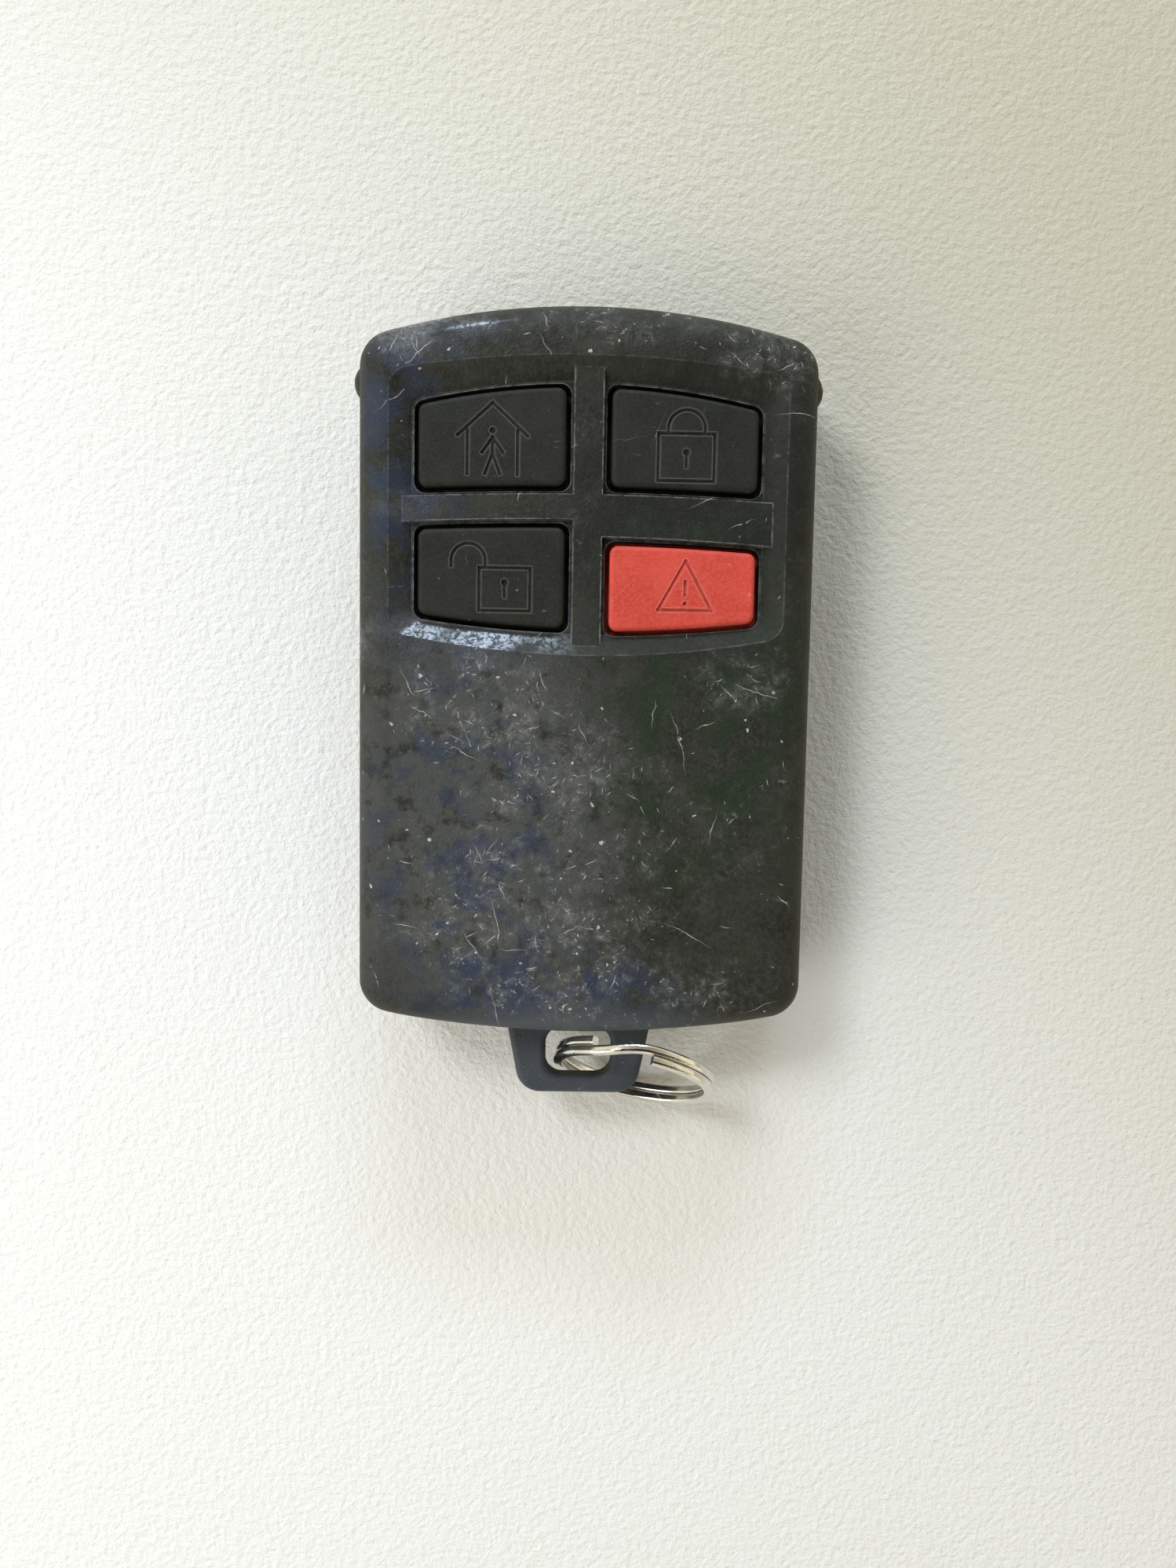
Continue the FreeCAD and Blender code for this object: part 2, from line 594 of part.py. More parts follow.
def loop_antenna():
    """The bent wire aerial, with both of its ends on the board."""
    gauge = 0.8
    z = BOARD_BOTTOM + BOARD_THICKNESS
    rise = z + 1.8
    x, y = 11.0, -19.5
    bend = 1.0
    left, right = V(-x, y, z), V(x, y, z)
    path = [
        Part.LineSegment(left, V(-x, y, rise - bend)).toShape(),
        Part.Arc(V(-x, y, rise - bend), V(-x + bend * (1 - math.sqrt(0.5)), y,
                 rise - bend * (1 - math.sqrt(0.5))), V(-x + bend, y, rise)).toShape(),
        Part.LineSegment(V(-x + bend, y, rise), V(x - bend, y, rise)).toShape(),
        Part.Arc(V(x - bend, y, rise), V(x - bend * (1 - math.sqrt(0.5)), y,
                 rise - bend * (1 - math.sqrt(0.5))), V(x, y, rise - bend)).toShape(),
        Part.LineSegment(V(x, y, rise - bend), right).toShape(),
    ]
    section = Part.Wire(Part.makeCircle(gauge / 2, left, UP))
    return Part.Wire(path).makePipeShell([section], True, False)


def ring_section(angle, layer):
    """The wire's rounded section in the radial plane at an angle, at a height on the axis."""
    inner = RING_OUTER / 2 - RING_RADIAL
    blank = box(inner, inner + RING_RADIAL, 0, 1, layer - RING_AXIAL / 2, layer + RING_AXIAL / 2)
    long = [e for e in blank.Edges if abs(e.Vertexes[0].Y - e.Vertexes[-1].Y) > 0.5]
    blank = blank.makeFillet(RING_ROUND, long)
    wire = min(blank.Faces, key=lambda f: f.CenterOfMass.y).OuterWire
    wire.rotate(V(0, 0, 0), UP, angle)
    return wire


def ring_turn(start, sweep, layer):
    """One flat turn of the ring."""
    return Part.Face(ring_section(start, layer)).revolve(V(0, 0, 0), UP, sweep)


def ring_axes():
    """The ring's swing axis, its upward direction and its own axis."""
    yaw, slope, lean = (math.radians(a) for a in (RING_YAW, RING_SLOPE, RING_LEAN))
    across = V(math.cos(yaw) * math.cos(slope), math.sin(yaw) * math.cos(slope), math.sin(slope))
    normal = across.cross(V(0, math.cos(lean), math.sin(lean))).normalize()
    return across, normal.cross(across), normal


def split_ring():
    """The double-turn split ring, from the front turn's cut end to the rear turn's."""
    half = RING_PITCH / 2
    turn = 360.0 - RING_JOG
    front = ring_turn(RING_CUT, -turn, half)
    rear = ring_turn(RING_CUT, -turn, -half)
    steps = 8
    sections = []
    for step in range(steps + 1):
        share = step / steps
        ease = share * share * (3 - 2 * share)
        sections.append(ring_section(RING_CUT + RING_JOG * (1 - share), half - RING_PITCH * ease))
    jog = Part.makeLoft(sections, True, False)
    ring = front.fuse([rear, jog]).removeSplitter()
    across, rise, normal = ring_axes()
    matrix = FreeCAD.Matrix(across.x, rise.x, normal.x, RING_CENTRE.x,
                            across.y, rise.y, normal.y, RING_CENTRE.y,
                            across.z, rise.z, normal.z, RING_CENTRE.z, 0, 0, 0, 1)
    return ring.transformed(matrix)


def build():
    """Every node by name."""
    body = housing_body()
    nodes = {"front_shell": front_shell(body), "rear_shell": rear_shell(body)}
    nodes["case_screw"] = case_screw()
    for key in KEYS:
        nodes[key + "_key"] = key_cap(key)
        for name, shape in switch_parts(key).items():
            nodes[key + "_switch_" + name] = shape
    nodes["circuit_board"] = circuit_board()
    nodes.update(cell_parts())
    nodes["positive_contact"] = positive_contact()
    nodes["negative_contact"] = negative_contact()
    nodes["microcontroller"], nodes["microcontroller_leads"] = microcontroller()
    nodes["radio_resonator"] = resonator()
    nodes["timing_crystal"] = crystal()
    capacitors = [(1.5, -7.0), (1.5, -9.5), (10.5, -7.0), (10.5, -9.5), (6.5, -13.5)]
    nodes["chip_capacitors"] = chip_row(capacitors, 1.25, 2.0, 0.8)
    resistors = [(-10.8, -3.5), (-8.6, -3.5), (-6.4, -3.5), (4.0, -3.5), (6.2, -3.5), (8.4, -3.5)]
    nodes["chip_resistors"] = chip_row(resistors, 0.8, 1.6, 0.45)
    nodes["loop_antenna"] = loop_antenna()
    nodes["split_ring"] = split_ring()
    return nodes


os.makedirs("parts", exist_ok=True)
for node, shape in build().items():
    shape.exportStep("parts/" + node + ".step")
    print(node, len(shape.Solids), shape.isValid(), round(shape.Volume, 2))
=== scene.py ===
"""Four-key alarm remote on its split ring: finishes, table top, lamps and camera.

Sizes inside a finish are in millimetres; the scene itself is in metres.
"""
from __future__ import annotations

import logging
import math
from dataclasses import dataclass, field
from enum import Enum

import bpy
from mathutils import Matrix, Vector


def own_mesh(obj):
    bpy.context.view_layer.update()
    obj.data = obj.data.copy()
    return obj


log = logging.getLogger("alarm_remote")
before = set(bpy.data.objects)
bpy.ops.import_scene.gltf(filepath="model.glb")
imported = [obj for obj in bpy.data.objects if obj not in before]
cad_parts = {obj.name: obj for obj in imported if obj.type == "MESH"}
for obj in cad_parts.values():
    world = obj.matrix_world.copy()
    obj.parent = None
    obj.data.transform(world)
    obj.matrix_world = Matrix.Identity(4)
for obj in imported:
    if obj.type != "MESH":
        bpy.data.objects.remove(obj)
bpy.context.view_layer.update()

Colour = tuple[float, float, float]
Point = tuple[float, float, float]
Source = object
Node = bpy.types.Node
Socket = bpy.types.NodeSocket
Tree = bpy.types.NodeTree
Material = bpy.types.Material

MM_PER_M = 1000.0
MIX_COLOUR_INPUTS = (0, 6, 7)
MIX_COLOUR_OUTPUT = 2
MIX_VALUE_INPUTS = (0, 2, 3)


class Kind(Enum):
    """The socket types that the shared effects use."""

    VALUE = "NodeSocketFloat"
    VECTOR = "NodeSocketVector"


# ------------------------------------------------------------------ node helpers
class Graph:
    """Adds nodes to one node tree and joins them up."""

    def __init__(self, tree: Tree) -> None:
        """Keeps the tree that the nodes go in."""
        self.tree = tree

    def add(self, kind: str, **settings: object) -> Node:
        """Makes one node.

        Args:
            kind: the node's type name, without "ShaderNode".
            settings: properties to set on it.

        Returns:
            The new node.
        """
        node = self.tree.nodes.new("ShaderNode" + kind)
        for name, value in settings.items():
            setattr(node, name, value)
        return node

    def feed(self, socket: Socket, source: Source) -> None:
        """Joins an output to a socket, or sets the socket's own value.

        Args:
            socket: the socket to feed.
            source: an output, a value, or a colour without its alpha.
        """
        if isinstance(source, Socket):
            self.tree.links.new(source, socket)
        elif isinstance(source, tuple) and socket.type == "RGBA":
            socket.default_value = (*source, 1.0)
        else:
            socket.default_value = source

    def math(self, operation: str, *sources: Source, clamp: bool = False) -> Socket:
        """Works out one value.

        Args:
            operation: the Math node's operation.
            sources: its inputs, in order.
            clamp: keeps the result between 0 and 1.

        Returns:
            The value's socket.
        """
        node = self.add("Math", operation=operation, use_clamp=clamp)
        for socket, source in zip(node.inputs, sources):
            self.feed(socket, source)
        return node.outputs[0]

    def vector(self, operation: str, *sources: Source) -> Socket:
        """Works out one vector.

        Args:
            operation: the Vector Math node's operation.
            sources: its inputs, in order.

        Returns:
            The vector's socket.
        """
        node = self.add("VectorMath", operation=operation)
        for socket, source in zip(node.inputs, sources):
            self.feed(socket, source)
        return node.outputs[0]

    def measure(self, operation: str, *sources: Source) -> Socket:
        """Works out one value from vectors, such as a length."""
        return self.vector(operation, *sources).node.outputs["Value"]

    def split(self, vector: Source, kind: str = "XYZ") -> list[Socket]:
        """Takes a vector apart, or a colour where the kind is "Color"."""
        node = self.add("Separate" + kind)
        self.feed(node.inputs[0], vector)
        return list(node.outputs)

    def scale(self, vector: Source, factor: Source) -> Socket:
        """Scales a vector.

        Args:
            vector: the vector.
            factor: what it is multiplied by.

        Returns:
            The scaled vector's socket.
        """
        node = self.add("VectorMath", operation="SCALE")
        self.feed(node.inputs["Vector"], vector)
        self.feed(node.inputs["Scale"], factor)
        return node.outputs[0]

    def step(self, value: Source, low: Source, high: Source) -> Socket:
        """A smooth step from 0 at low to 1 at high.

        Args:
            value: the value to test.
            low: where the step starts.
            high: where it ends.

        Returns:
            The step's socket.
        """
        node = self.add("MapRange", interpolation_type="SMOOTHSTEP")
        for socket, source in zip(node.inputs, (value, low, high)):
            self.feed(socket, source)
        return node.outputs[0]

    def blend(self, share: Source, under: Source, over: Source) -> Socket:
        """Lays one colour over another.

        Args:
            share: how much of the upper colour shows.
            under: the lower colour.
            over: the upper colour.

        Returns:
            The mixed colour's socket.
        """
        node = self.add("Mix", data_type="RGBA")
        for number, source in zip(MIX_COLOUR_INPUTS, (share, under, over)):
            self.feed(node.inputs[number], source)
        return node.outputs[MIX_COLOUR_OUTPUT]

    def tint(self, under: Source, over: Source, mask: Source, most: Source) -> Socket:
        """Lays one colour over another where a mask is.

        Args:
            under: the lower colour.
            over: the upper colour.
            mask: where the upper colour shows.
            most: how much of it shows where the mask is 1.

        Returns:
            The mixed colour's socket.
        """
        return self.blend(self.math("MULTIPLY", mask, most), under, over)

    def choose(self, share: Source, under: Source, over: Source) -> Socket:
        """Mixes two values.

        Args:
            share: how much of the second value counts.
            under: the first value.
            over: the second value.

        Returns:
            The mixed value's socket.
        """
        node = self.add("Mix", data_type="FLOAT")
        for number, source in zip(MIX_VALUE_INPUTS, (share, under, over)):
            self.feed(node.inputs[number], source)
        return node.outputs[0]

    def fade(self, offset: Source, reach: Source) -> Socket:
        """A value that falls from 1 at no offset to 0 at the reach, on both sides.

        Args:
            offset: how far away a point is.
            reach: where the value gets to 0.

        Returns:
            The value's socket.
        """
        share = self.math("DIVIDE", self.math("ABSOLUTE", offset), reach)
        return self.math("SUBTRACT", 1.0, share, clamp=True)

    def add_mark(self, total: Source, mark: Source, strength: Source) -> Socket:
        """Adds one kind of mark to the marks so far; the stronger one counts at each point.

        Args:
            total: the marks so far.
            mark: the mask of the new marks.
            strength: how strong the new ones are.

        Returns:
            The new total's socket.
        """
        return self.math("MAXIMUM", total, self.math("MULTIPLY", mark, strength))

    def per(self, size: Source) -> Source:
        """Turns a texture's size, a number or a socket, into its scale."""
        return 1.0 / size if isinstance(size, float) else self.math("DIVIDE", 1.0, size)

    def noise(self, where: Source, size: Source, detail: float = 2.0, rough: float = 0.5) -> Socket:
        """A cloudy value between 0 and 1.

        Args:
            where: the coordinates, in millimetres.
            size: the clouds' size in millimetres, as a number or a socket.
            detail: octaves of finer clouds.
            rough: strength of the finer clouds.

        Returns:
            The value's socket.
        """
        node = self.add("TexNoise")
        for name, source in (("Vector", where), ("Scale", self.per(size)), ("Detail", detail),
                             ("Roughness", rough)):
            self.feed(node.inputs[name], source)
        return node.outputs[0]

    def cells(self, where: Source, size: Source, **settings: object) -> Node:
        """Splits the coordinates into cells, each round its own seed point.

        Args:
            where: the coordinates, in millimetres.
            size: the cells' size in millimetres, as a number or a socket.
            settings: properties to set on the node.

        Returns:
            The node.
        """
        node = self.add("TexVoronoi", **settings)
        self.feed(node.inputs["Vector"], where)
        self.feed(node.inputs["Scale"], self.per(size))
        return node

    def drift(self, where: Source, size: float, reach: float) -> Socket:
        """A random sideways shift.

        Args:
            where: the coordinates, in millimetres.
            size: how far apart the shifts differ.
            reach: how far they go, in millimetres.

        Returns:
            The shift's socket.
        """
        node = self.add("TexNoise")
        node.inputs["Scale"].default_value = 1.0 / size
        self.feed(node.inputs["Vector"], where)
        return self.scale(self.vector("SUBTRACT", node.outputs["Color"], (0.5, 0.5, 0.5)), reach)

    def effect(self, tree: Tree, **sources: Source) -> Node:
        """Places a shared effect.

        Args:
            tree: the effect's node group.
            sources: what each named input gets, with spaces written as underscores.

        Returns:
            The group node.
        """
        node = self.add("Group", node_tree=tree)
        for name, source in sources.items():
            self.feed(node.inputs[name.replace("_", " ")], source)
        return node


@dataclass(frozen=True)
class Port:
    """One named input or output of a shared effect."""

    name: str
    kind: Kind
    value: float = 0.0


@dataclass(frozen=True)
class ScratchLayer:
    """One size of hairline: how far apart, how wide, how bent, how many and how strong."""

    spacing: float
    width: float
    bend: float
    share: float
    strength: float
    seed: float
    everywhere: bool = False


TOP_FACING = 0.55
PATCH_SEED_STEP = (17.3, 41.7, 8.9)
ZONE_CORE = 0.35
EDGE_TURNED = (0.995, 0.9)
EDGE_BREAK_SIZE = 0.9

HAIRLINE_SEED_STEP = (3.71, 5.93, 0.0)
HAIRLINE_WANDER = (1.1, 0.55)
LEAST_LENGTH = 0.12
LENGTH_SWING = 0.35

RUB_WANDER = (2.6, 1.6)
RUB_MARKS = ((3.6, 0.008, 3.0), (5.4, 0.006, 11.0))
RUB_GAP_SIZE = 0.8
FLECK_SIZE = 0.30
CROWD_SIZE = 1.9
CHALK_SIZE = 0.7
CHALK_STRENGTH = 0.26
SPECK_WANDER = (0.33, 0.5)

SCRATCH_LAYERS = (
    ScratchLayer(12.0, 0.9, 0.05, 0.95, 0.85, 7.3, everywhere=True),
    ScratchLayer(7.5, 0.9, 0.10, 0.90, 0.95, 14.6, everywhere=True),
    ScratchLayer(5.2, 0.9, 0.12, 0.80, 0.80, 21.9, everywhere=True),
    ScratchLayer(3.4, 1.0, 0.25, 0.80, 0.90, 29.2),
    ScratchLayer(2.1, 0.9, 0.20, 0.70, 0.95, 36.5),
    ScratchLayer(1.3, 0.8, 0.25, 0.55, 1.00, 43.8),
    ScratchLayer(0.8, 0.8, 0.25, 0.30, 1.00, 51.1),
)


class Effects:
    """The shared effects, each a node group that is built once."""

    def __init__(self) -> None:
        """Builds every group."""
        self.place = self.build_place()
        self.patches = self.build_patches()
        self.grain = self.build_grain()
        self.zone = self.build_zone()
        self.scratch_layer = self.build_scratch_layer()
        self.scratches = self.build_scratches()
        self.scuffs = self.build_scuffs()
        self.specks = self.build_specks()
        self.edge = self.build_edge()
        self.lines = self.build_lines()

    @staticmethod
    def start(name: str, takes: list[Port], gives: list[Port]) -> tuple[Graph, dict, dict]:
        """Makes an empty group with its named sockets.

        Args:
            name: the group's name.
            takes: its inputs.
            gives: its outputs.

        Returns:
            The group's graph, its inputs by name and its outputs by name.
        """
        tree = bpy.data.node_groups.new(name, "ShaderNodeTree")
        for ports, side in ((takes, "INPUT"), (gives, "OUTPUT")):
            for port in ports:
                socket = tree.interface.new_socket(port.name, in_out=side, socket_type=port.kind.value)
                if side == "INPUT" and port.kind is Kind.VALUE:
                    socket.default_value = port.value
        graph = Graph(tree)
        entry, end = tree.nodes.new("NodeGroupInput"), tree.nodes.new("NodeGroupOutput")
        sources = {port.name: entry.outputs[port.name] for port in takes}
        return graph, sources, {port.name: end.inputs[port.name] for port in gives}

    def build_place(self) -> Tree:
        """Where a point lies: in space, and flattened onto the face that it is on.

        Returns:
            The group, which gives "Place" and "Flat" in millimetres and the face's "Upward" share.
        """
        graph, _, out = self.start("place on the piece", [], [
            Port("Place", Kind.VECTOR), Port("Flat", Kind.VECTOR), Port("Upward", Kind.VALUE)])
        where = graph.add("TexCoord")
        place = graph.scale(where.outputs["Object"], MM_PER_M)
        x, y, z = graph.split(place)
        side, end, upward = graph.split(graph.vector("ABSOLUTE", where.outputs["Normal"]))
        on_top = graph.math("GREATER_THAN", upward, TOP_FACING)
        on_side = graph.math("GREATER_THAN", side, end)
        across = graph.choose(on_top, graph.choose(on_side, x, y), x)
        along = graph.choose(on_top, z, y)
        flat = graph.add("CombineXYZ")
        graph.feed(flat.inputs[0], across)
        graph.feed(flat.inputs[1], along)
        graph.feed(out["Place"], place)
        graph.feed(out["Flat"], flat.outputs[0])
        graph.feed(out["Upward"], upward)
        return graph.tree

    def build_patches(self) -> Tree:
        """Soft-edged patches.

        Returns:
            The group, which gives a "Mask".
        """
        graph, into, out = self.start("patches", [
            Port("Place", Kind.VECTOR), Port("Size", Kind.VALUE, 5.0), Port("Cover", Kind.VALUE, 0.5),
            Port("Softness", Kind.VALUE, 0.1), Port("Seed", Kind.VALUE)], [Port("Mask", Kind.VALUE)])
        shift = graph.vector("ADD", into["Place"], graph.scale(PATCH_SEED_STEP, into["Seed"]))
        cloud = graph.noise(shift, into["Size"], 5.0, 0.62)
        edge = graph.math("SUBTRACT", 1.0, into["Cover"])
        low = graph.math("SUBTRACT", edge, into["Softness"])
        high = graph.math("ADD", edge, into["Softness"])
        graph.feed(out["Mask"], graph.step(cloud, low, high))
        return graph.tree

    def build_grain(self) -> Tree:
        """Fine spark-eroded grain of a moulding.

        Returns:
            The group, which gives a "Height".
        """
        graph, into, out = self.start("moulded grain", [
            Port("Place", Kind.VECTOR), Port("Size", Kind.VALUE, 0.2)], [Port("Height", Kind.VALUE)])
        pits = graph.cells(into["Place"], into["Size"])
        fine = graph.noise(into["Place"], graph.math("MULTIPLY", into["Size"], 0.6), 2.0, 0.6)
        mixed = graph.math("ADD", graph.math("MULTIPLY", pits.outputs["Distance"], 0.6), fine)
        graph.feed(out["Height"], graph.math("MULTIPLY", mixed, 0.6))
        return graph.tree

    def build_zone(self) -> Tree:
        """A soft oval region round a centre.

        Returns:
            The group, which gives a "Mask".
        """
        graph, into, out = self.start("soft zone", [
            Port("Place", Kind.VECTOR), Port("Centre", Kind.VECTOR), Port("Reach", Kind.VECTOR)],
            [Port("Mask", Kind.VALUE)])
        away = graph.vector("SUBTRACT", into["Place"], into["Centre"])
        away = graph.vector("DIVIDE", away, into["Reach"])
        outside = graph.step(graph.measure("LENGTH", away), ZONE_CORE, 1.0)
        graph.feed(out["Mask"], graph.math("SUBTRACT", 1.0, outside))
        return graph.tree

    def build_scratch_layer(self) -> Tree:
        """One sparse layer of short, slightly bent hairlines, each at its own angle.

        Returns:
            The group, which gives a "Mask".
        """
        graph, into, out = self.start("scratch layer", [
            Port("Flat", Kind.VECTOR), Port("Spacing", Kind.VALUE, 3.0), Port("Width", Kind.VALUE, 0.06),
            Port("Share", Kind.VALUE, 0.5), Port("Bend", Kind.VALUE, 0.3), Port("Seed", Kind.VALUE)],
            [Port("Mask", Kind.VALUE)])
        moved = graph.vector("ADD", into["Flat"], graph.scale(HAIRLINE_SEED_STEP, into["Seed"]))
        moved = graph.vector("ADD", moved, graph.drift(moved, *HAIRLINE_WANDER))
        cells = graph.cells(moved, into["Spacing"], voronoi_dimensions="2D")
        angle, shape, chance = graph.split(cells.outputs["Color"], "Color")
        x, y, _ = graph.split(graph.vector("SUBTRACT", moved, cells.outputs["Position"]))
        turn = graph.math("MULTIPLY", angle, math.tau)
        cosine, sine = graph.math("COSINE", turn), graph.math("SINE", turn)
        along = graph.math("ADD", graph.math("MULTIPLY", x, cosine), graph.math("MULTIPLY", y, sine))
        across = graph.math("SUBTRACT", graph.math("MULTIPLY", y, cosine), graph.math("MULTIPLY", x, sine))
        bend = graph.math("MULTIPLY", graph.math("SUBTRACT", shape, 0.5), into["Bend"])
        sag = graph.math("MULTIPLY", bend, graph.math("MULTIPLY", along, along))
        across = graph.math("SUBTRACT", across, sag)
        length = graph.math("MULTIPLY_ADD", shape, LENGTH_SWING, LEAST_LENGTH)
        reach = graph.math("MULTIPLY", into["Spacing"], length)
        ends = graph.fade(along, reach)
        width = graph.math("MULTIPLY", into["Width"], graph.math("POWER", ends, 0.5))
        line = graph.fade(across, width)
        kept = graph.math("LESS_THAN", chance, into["Share"])
        graph.feed(out["Mask"], graph.math("MULTIPLY", graph.math("MULTIPLY", line, ends), kept))
        return graph.tree

    def build_scratches(self) -> Tree:
        """Layers of hairlines in several sizes; the short ones only show where wear is heavy.

        Returns:
            The group, which gives a "Mask".
        """
        graph, into, out = self.start("scratches", [
            Port("Flat", Kind.VECTOR), Port("Wear", Kind.VALUE, 0.5), Port("Width", Kind.VALUE, 0.06)],
            [Port("Mask", Kind.VALUE)])
        heavy = graph.math("MULTIPLY", into["Wear"], into["Wear"])
        total = 0.0
        for layer in SCRATCH_LAYERS:
            share = graph.math("MULTIPLY", into["Wear"] if layer.everywhere else heavy, layer.share)
            made = graph.effect(self.scratch_layer, Flat=into["Flat"], Spacing=layer.spacing,
                                Width=graph.math("MULTIPLY", into["Width"], layer.width), Seed=layer.seed,
                                Bend=layer.bend, Share=share)
            total = graph.add_mark(total, made.outputs[0], layer.strength)
        graph.feed(out["Mask"], total)
        return graph.tree

    def build_scuffs(self) -> Tree:
        """Ragged, wandering rub marks and chalky patches.

        Returns:
            The group, which gives a "Mask".
        """
        graph, into, out = self.start("scuffs", [
            Port("Flat", Kind.VECTOR), Port("Wear", Kind.VALUE, 0.5)], [Port("Mask", Kind.VALUE)])
        bent = graph.vector("ADD", into["Flat"], graph.drift(into["Flat"], *RUB_WANDER))
        total = 0.0
        for size, thin, seed in RUB_MARKS:
            moved = graph.vector("ADD", bent, (seed, seed * 1.7, 0.0))
            ridge = graph.math("SUBTRACT", graph.noise(moved, size, 2.0, 0.4), 0.5)
            line = graph.fade(ridge, thin)
            gaps = graph.step(graph.noise(moved, RUB_GAP_SIZE, 3.0, 0.75), 0.56, 0.68)
            total = graph.add_mark(total, line, gaps)
        flecks = graph.step(graph.noise(bent, FLECK_SIZE, 3.0, 0.75), 0.60, 0.71)
        crowd = graph.step(graph.noise(bent, CROWD_SIZE, 4.0, 0.7), 0.44, 0.62)
        total = graph.add_mark(total, flecks, crowd)
        chalk = graph.step(graph.noise(bent, CHALK_SIZE, 5.0, 0.75), 0.42, 0.75)
        total = graph.add_mark(total, graph.math("MULTIPLY", chalk, crowd), CHALK_STRENGTH)
        shown = graph.step(into["Wear"], 0.05, 0.8)
        graph.feed(out["Mask"], graph.math("MULTIPLY", total, shown))
        return graph.tree

    def build_specks(self) -> Tree:
        """Small scattered nicks and dust.

        Returns:
            The group, which gives a "Mask".
        """
        graph, into, out = self.start("specks", [
            Port("Place", Kind.VECTOR), Port("Spacing", Kind.VALUE, 0.7), Port("Size", Kind.VALUE, 0.12),
            Port("Share", Kind.VALUE, 0.3)], [Port("Mask", Kind.VALUE)])
        ragged = graph.vector("ADD", into["Place"], graph.drift(into["Place"], *SPECK_WANDER))
        cells = graph.cells(ragged, into["Spacing"])
        share, chance, _ = graph.split(cells.outputs["Color"], "Color")
        distance = graph.math("MULTIPLY", cells.outputs["Distance"], into["Spacing"])
        size = graph.math("MULTIPLY", into["Size"], share)
        dot = graph.math("SUBTRACT", 1.0, graph.step(distance, graph.math("MULTIPLY", size, 0.5), size))
        kept = graph.math("LESS_THAN", chance, into["Share"])
        graph.feed(out["Mask"], graph.math("MULTIPLY", dot, kept))
        return graph.tree

    def build_edge(self) -> Tree:
        """Where an outer edge is, in broken stretches; a finish lays its worn colour there, which also
        paints a highlight.

        Returns:
            The group, which gives a "Mask".
        """
        graph, into, out = self.start("rubbed and highlighted edge", [
            Port("Place", Kind.VECTOR), Port("Radius", Kind.VALUE, 0.3), Port("Break", Kind.VALUE, 0.5)],
            [Port("Mask", Kind.VALUE)])
        rounded = graph.add("Bevel", samples=4)
        graph.feed(rounded.inputs["Radius"], graph.math("DIVIDE", into["Radius"], MM_PER_M))
        shape = graph.add("NewGeometry")
        agree = graph.measure("DOT_PRODUCT", rounded.outputs[0], shape.outputs["Normal"])
        turned = graph.step(agree, *EDGE_TURNED)
        broken = graph.noise(into["Place"], EDGE_BREAK_SIZE, 4.0, 0.65)
        kept = graph.step(broken, graph.math("SUBTRACT", into["Break"], 0.18),
                          graph.math("ADD", into["Break"], 0.12))
        graph.feed(out["Mask"], graph.math("MULTIPLY", turned, kept))
        return graph.tree

    def build_lines(self) -> Tree:
        """Fine parallel lines, as drawing, rolling or brushing leaves them.

        Returns:
            The group, which gives a "Value".
        """
        graph, into, out = self.start("drawn lines", [
            Port("Place", Kind.VECTOR), Port("Stretch", Kind.VECTOR)], [Port("Value", Kind.VALUE)])
        stretched = graph.vector("MULTIPLY", into["Place"], into["Stretch"])
        graph.feed(out["Value"], graph.noise(stretched, 1.0, 3.0, 0.6))
        return graph.tree


# ------------------------------------------------------------------ finishes
@dataclass(frozen=True)
class Zone:
    """A soft oval region, in millimetres, where wear, polish and tints gather, painted shade and sheen
    among them.
    """

    centre: Point
    reach: Point
    strength: float


@dataclass(frozen=True)
class Tint:
    """Patches of one colour inside a region."""

    colour: Colour
    zone: Zone
    size: float = 4.0
    cover: float = 0.5


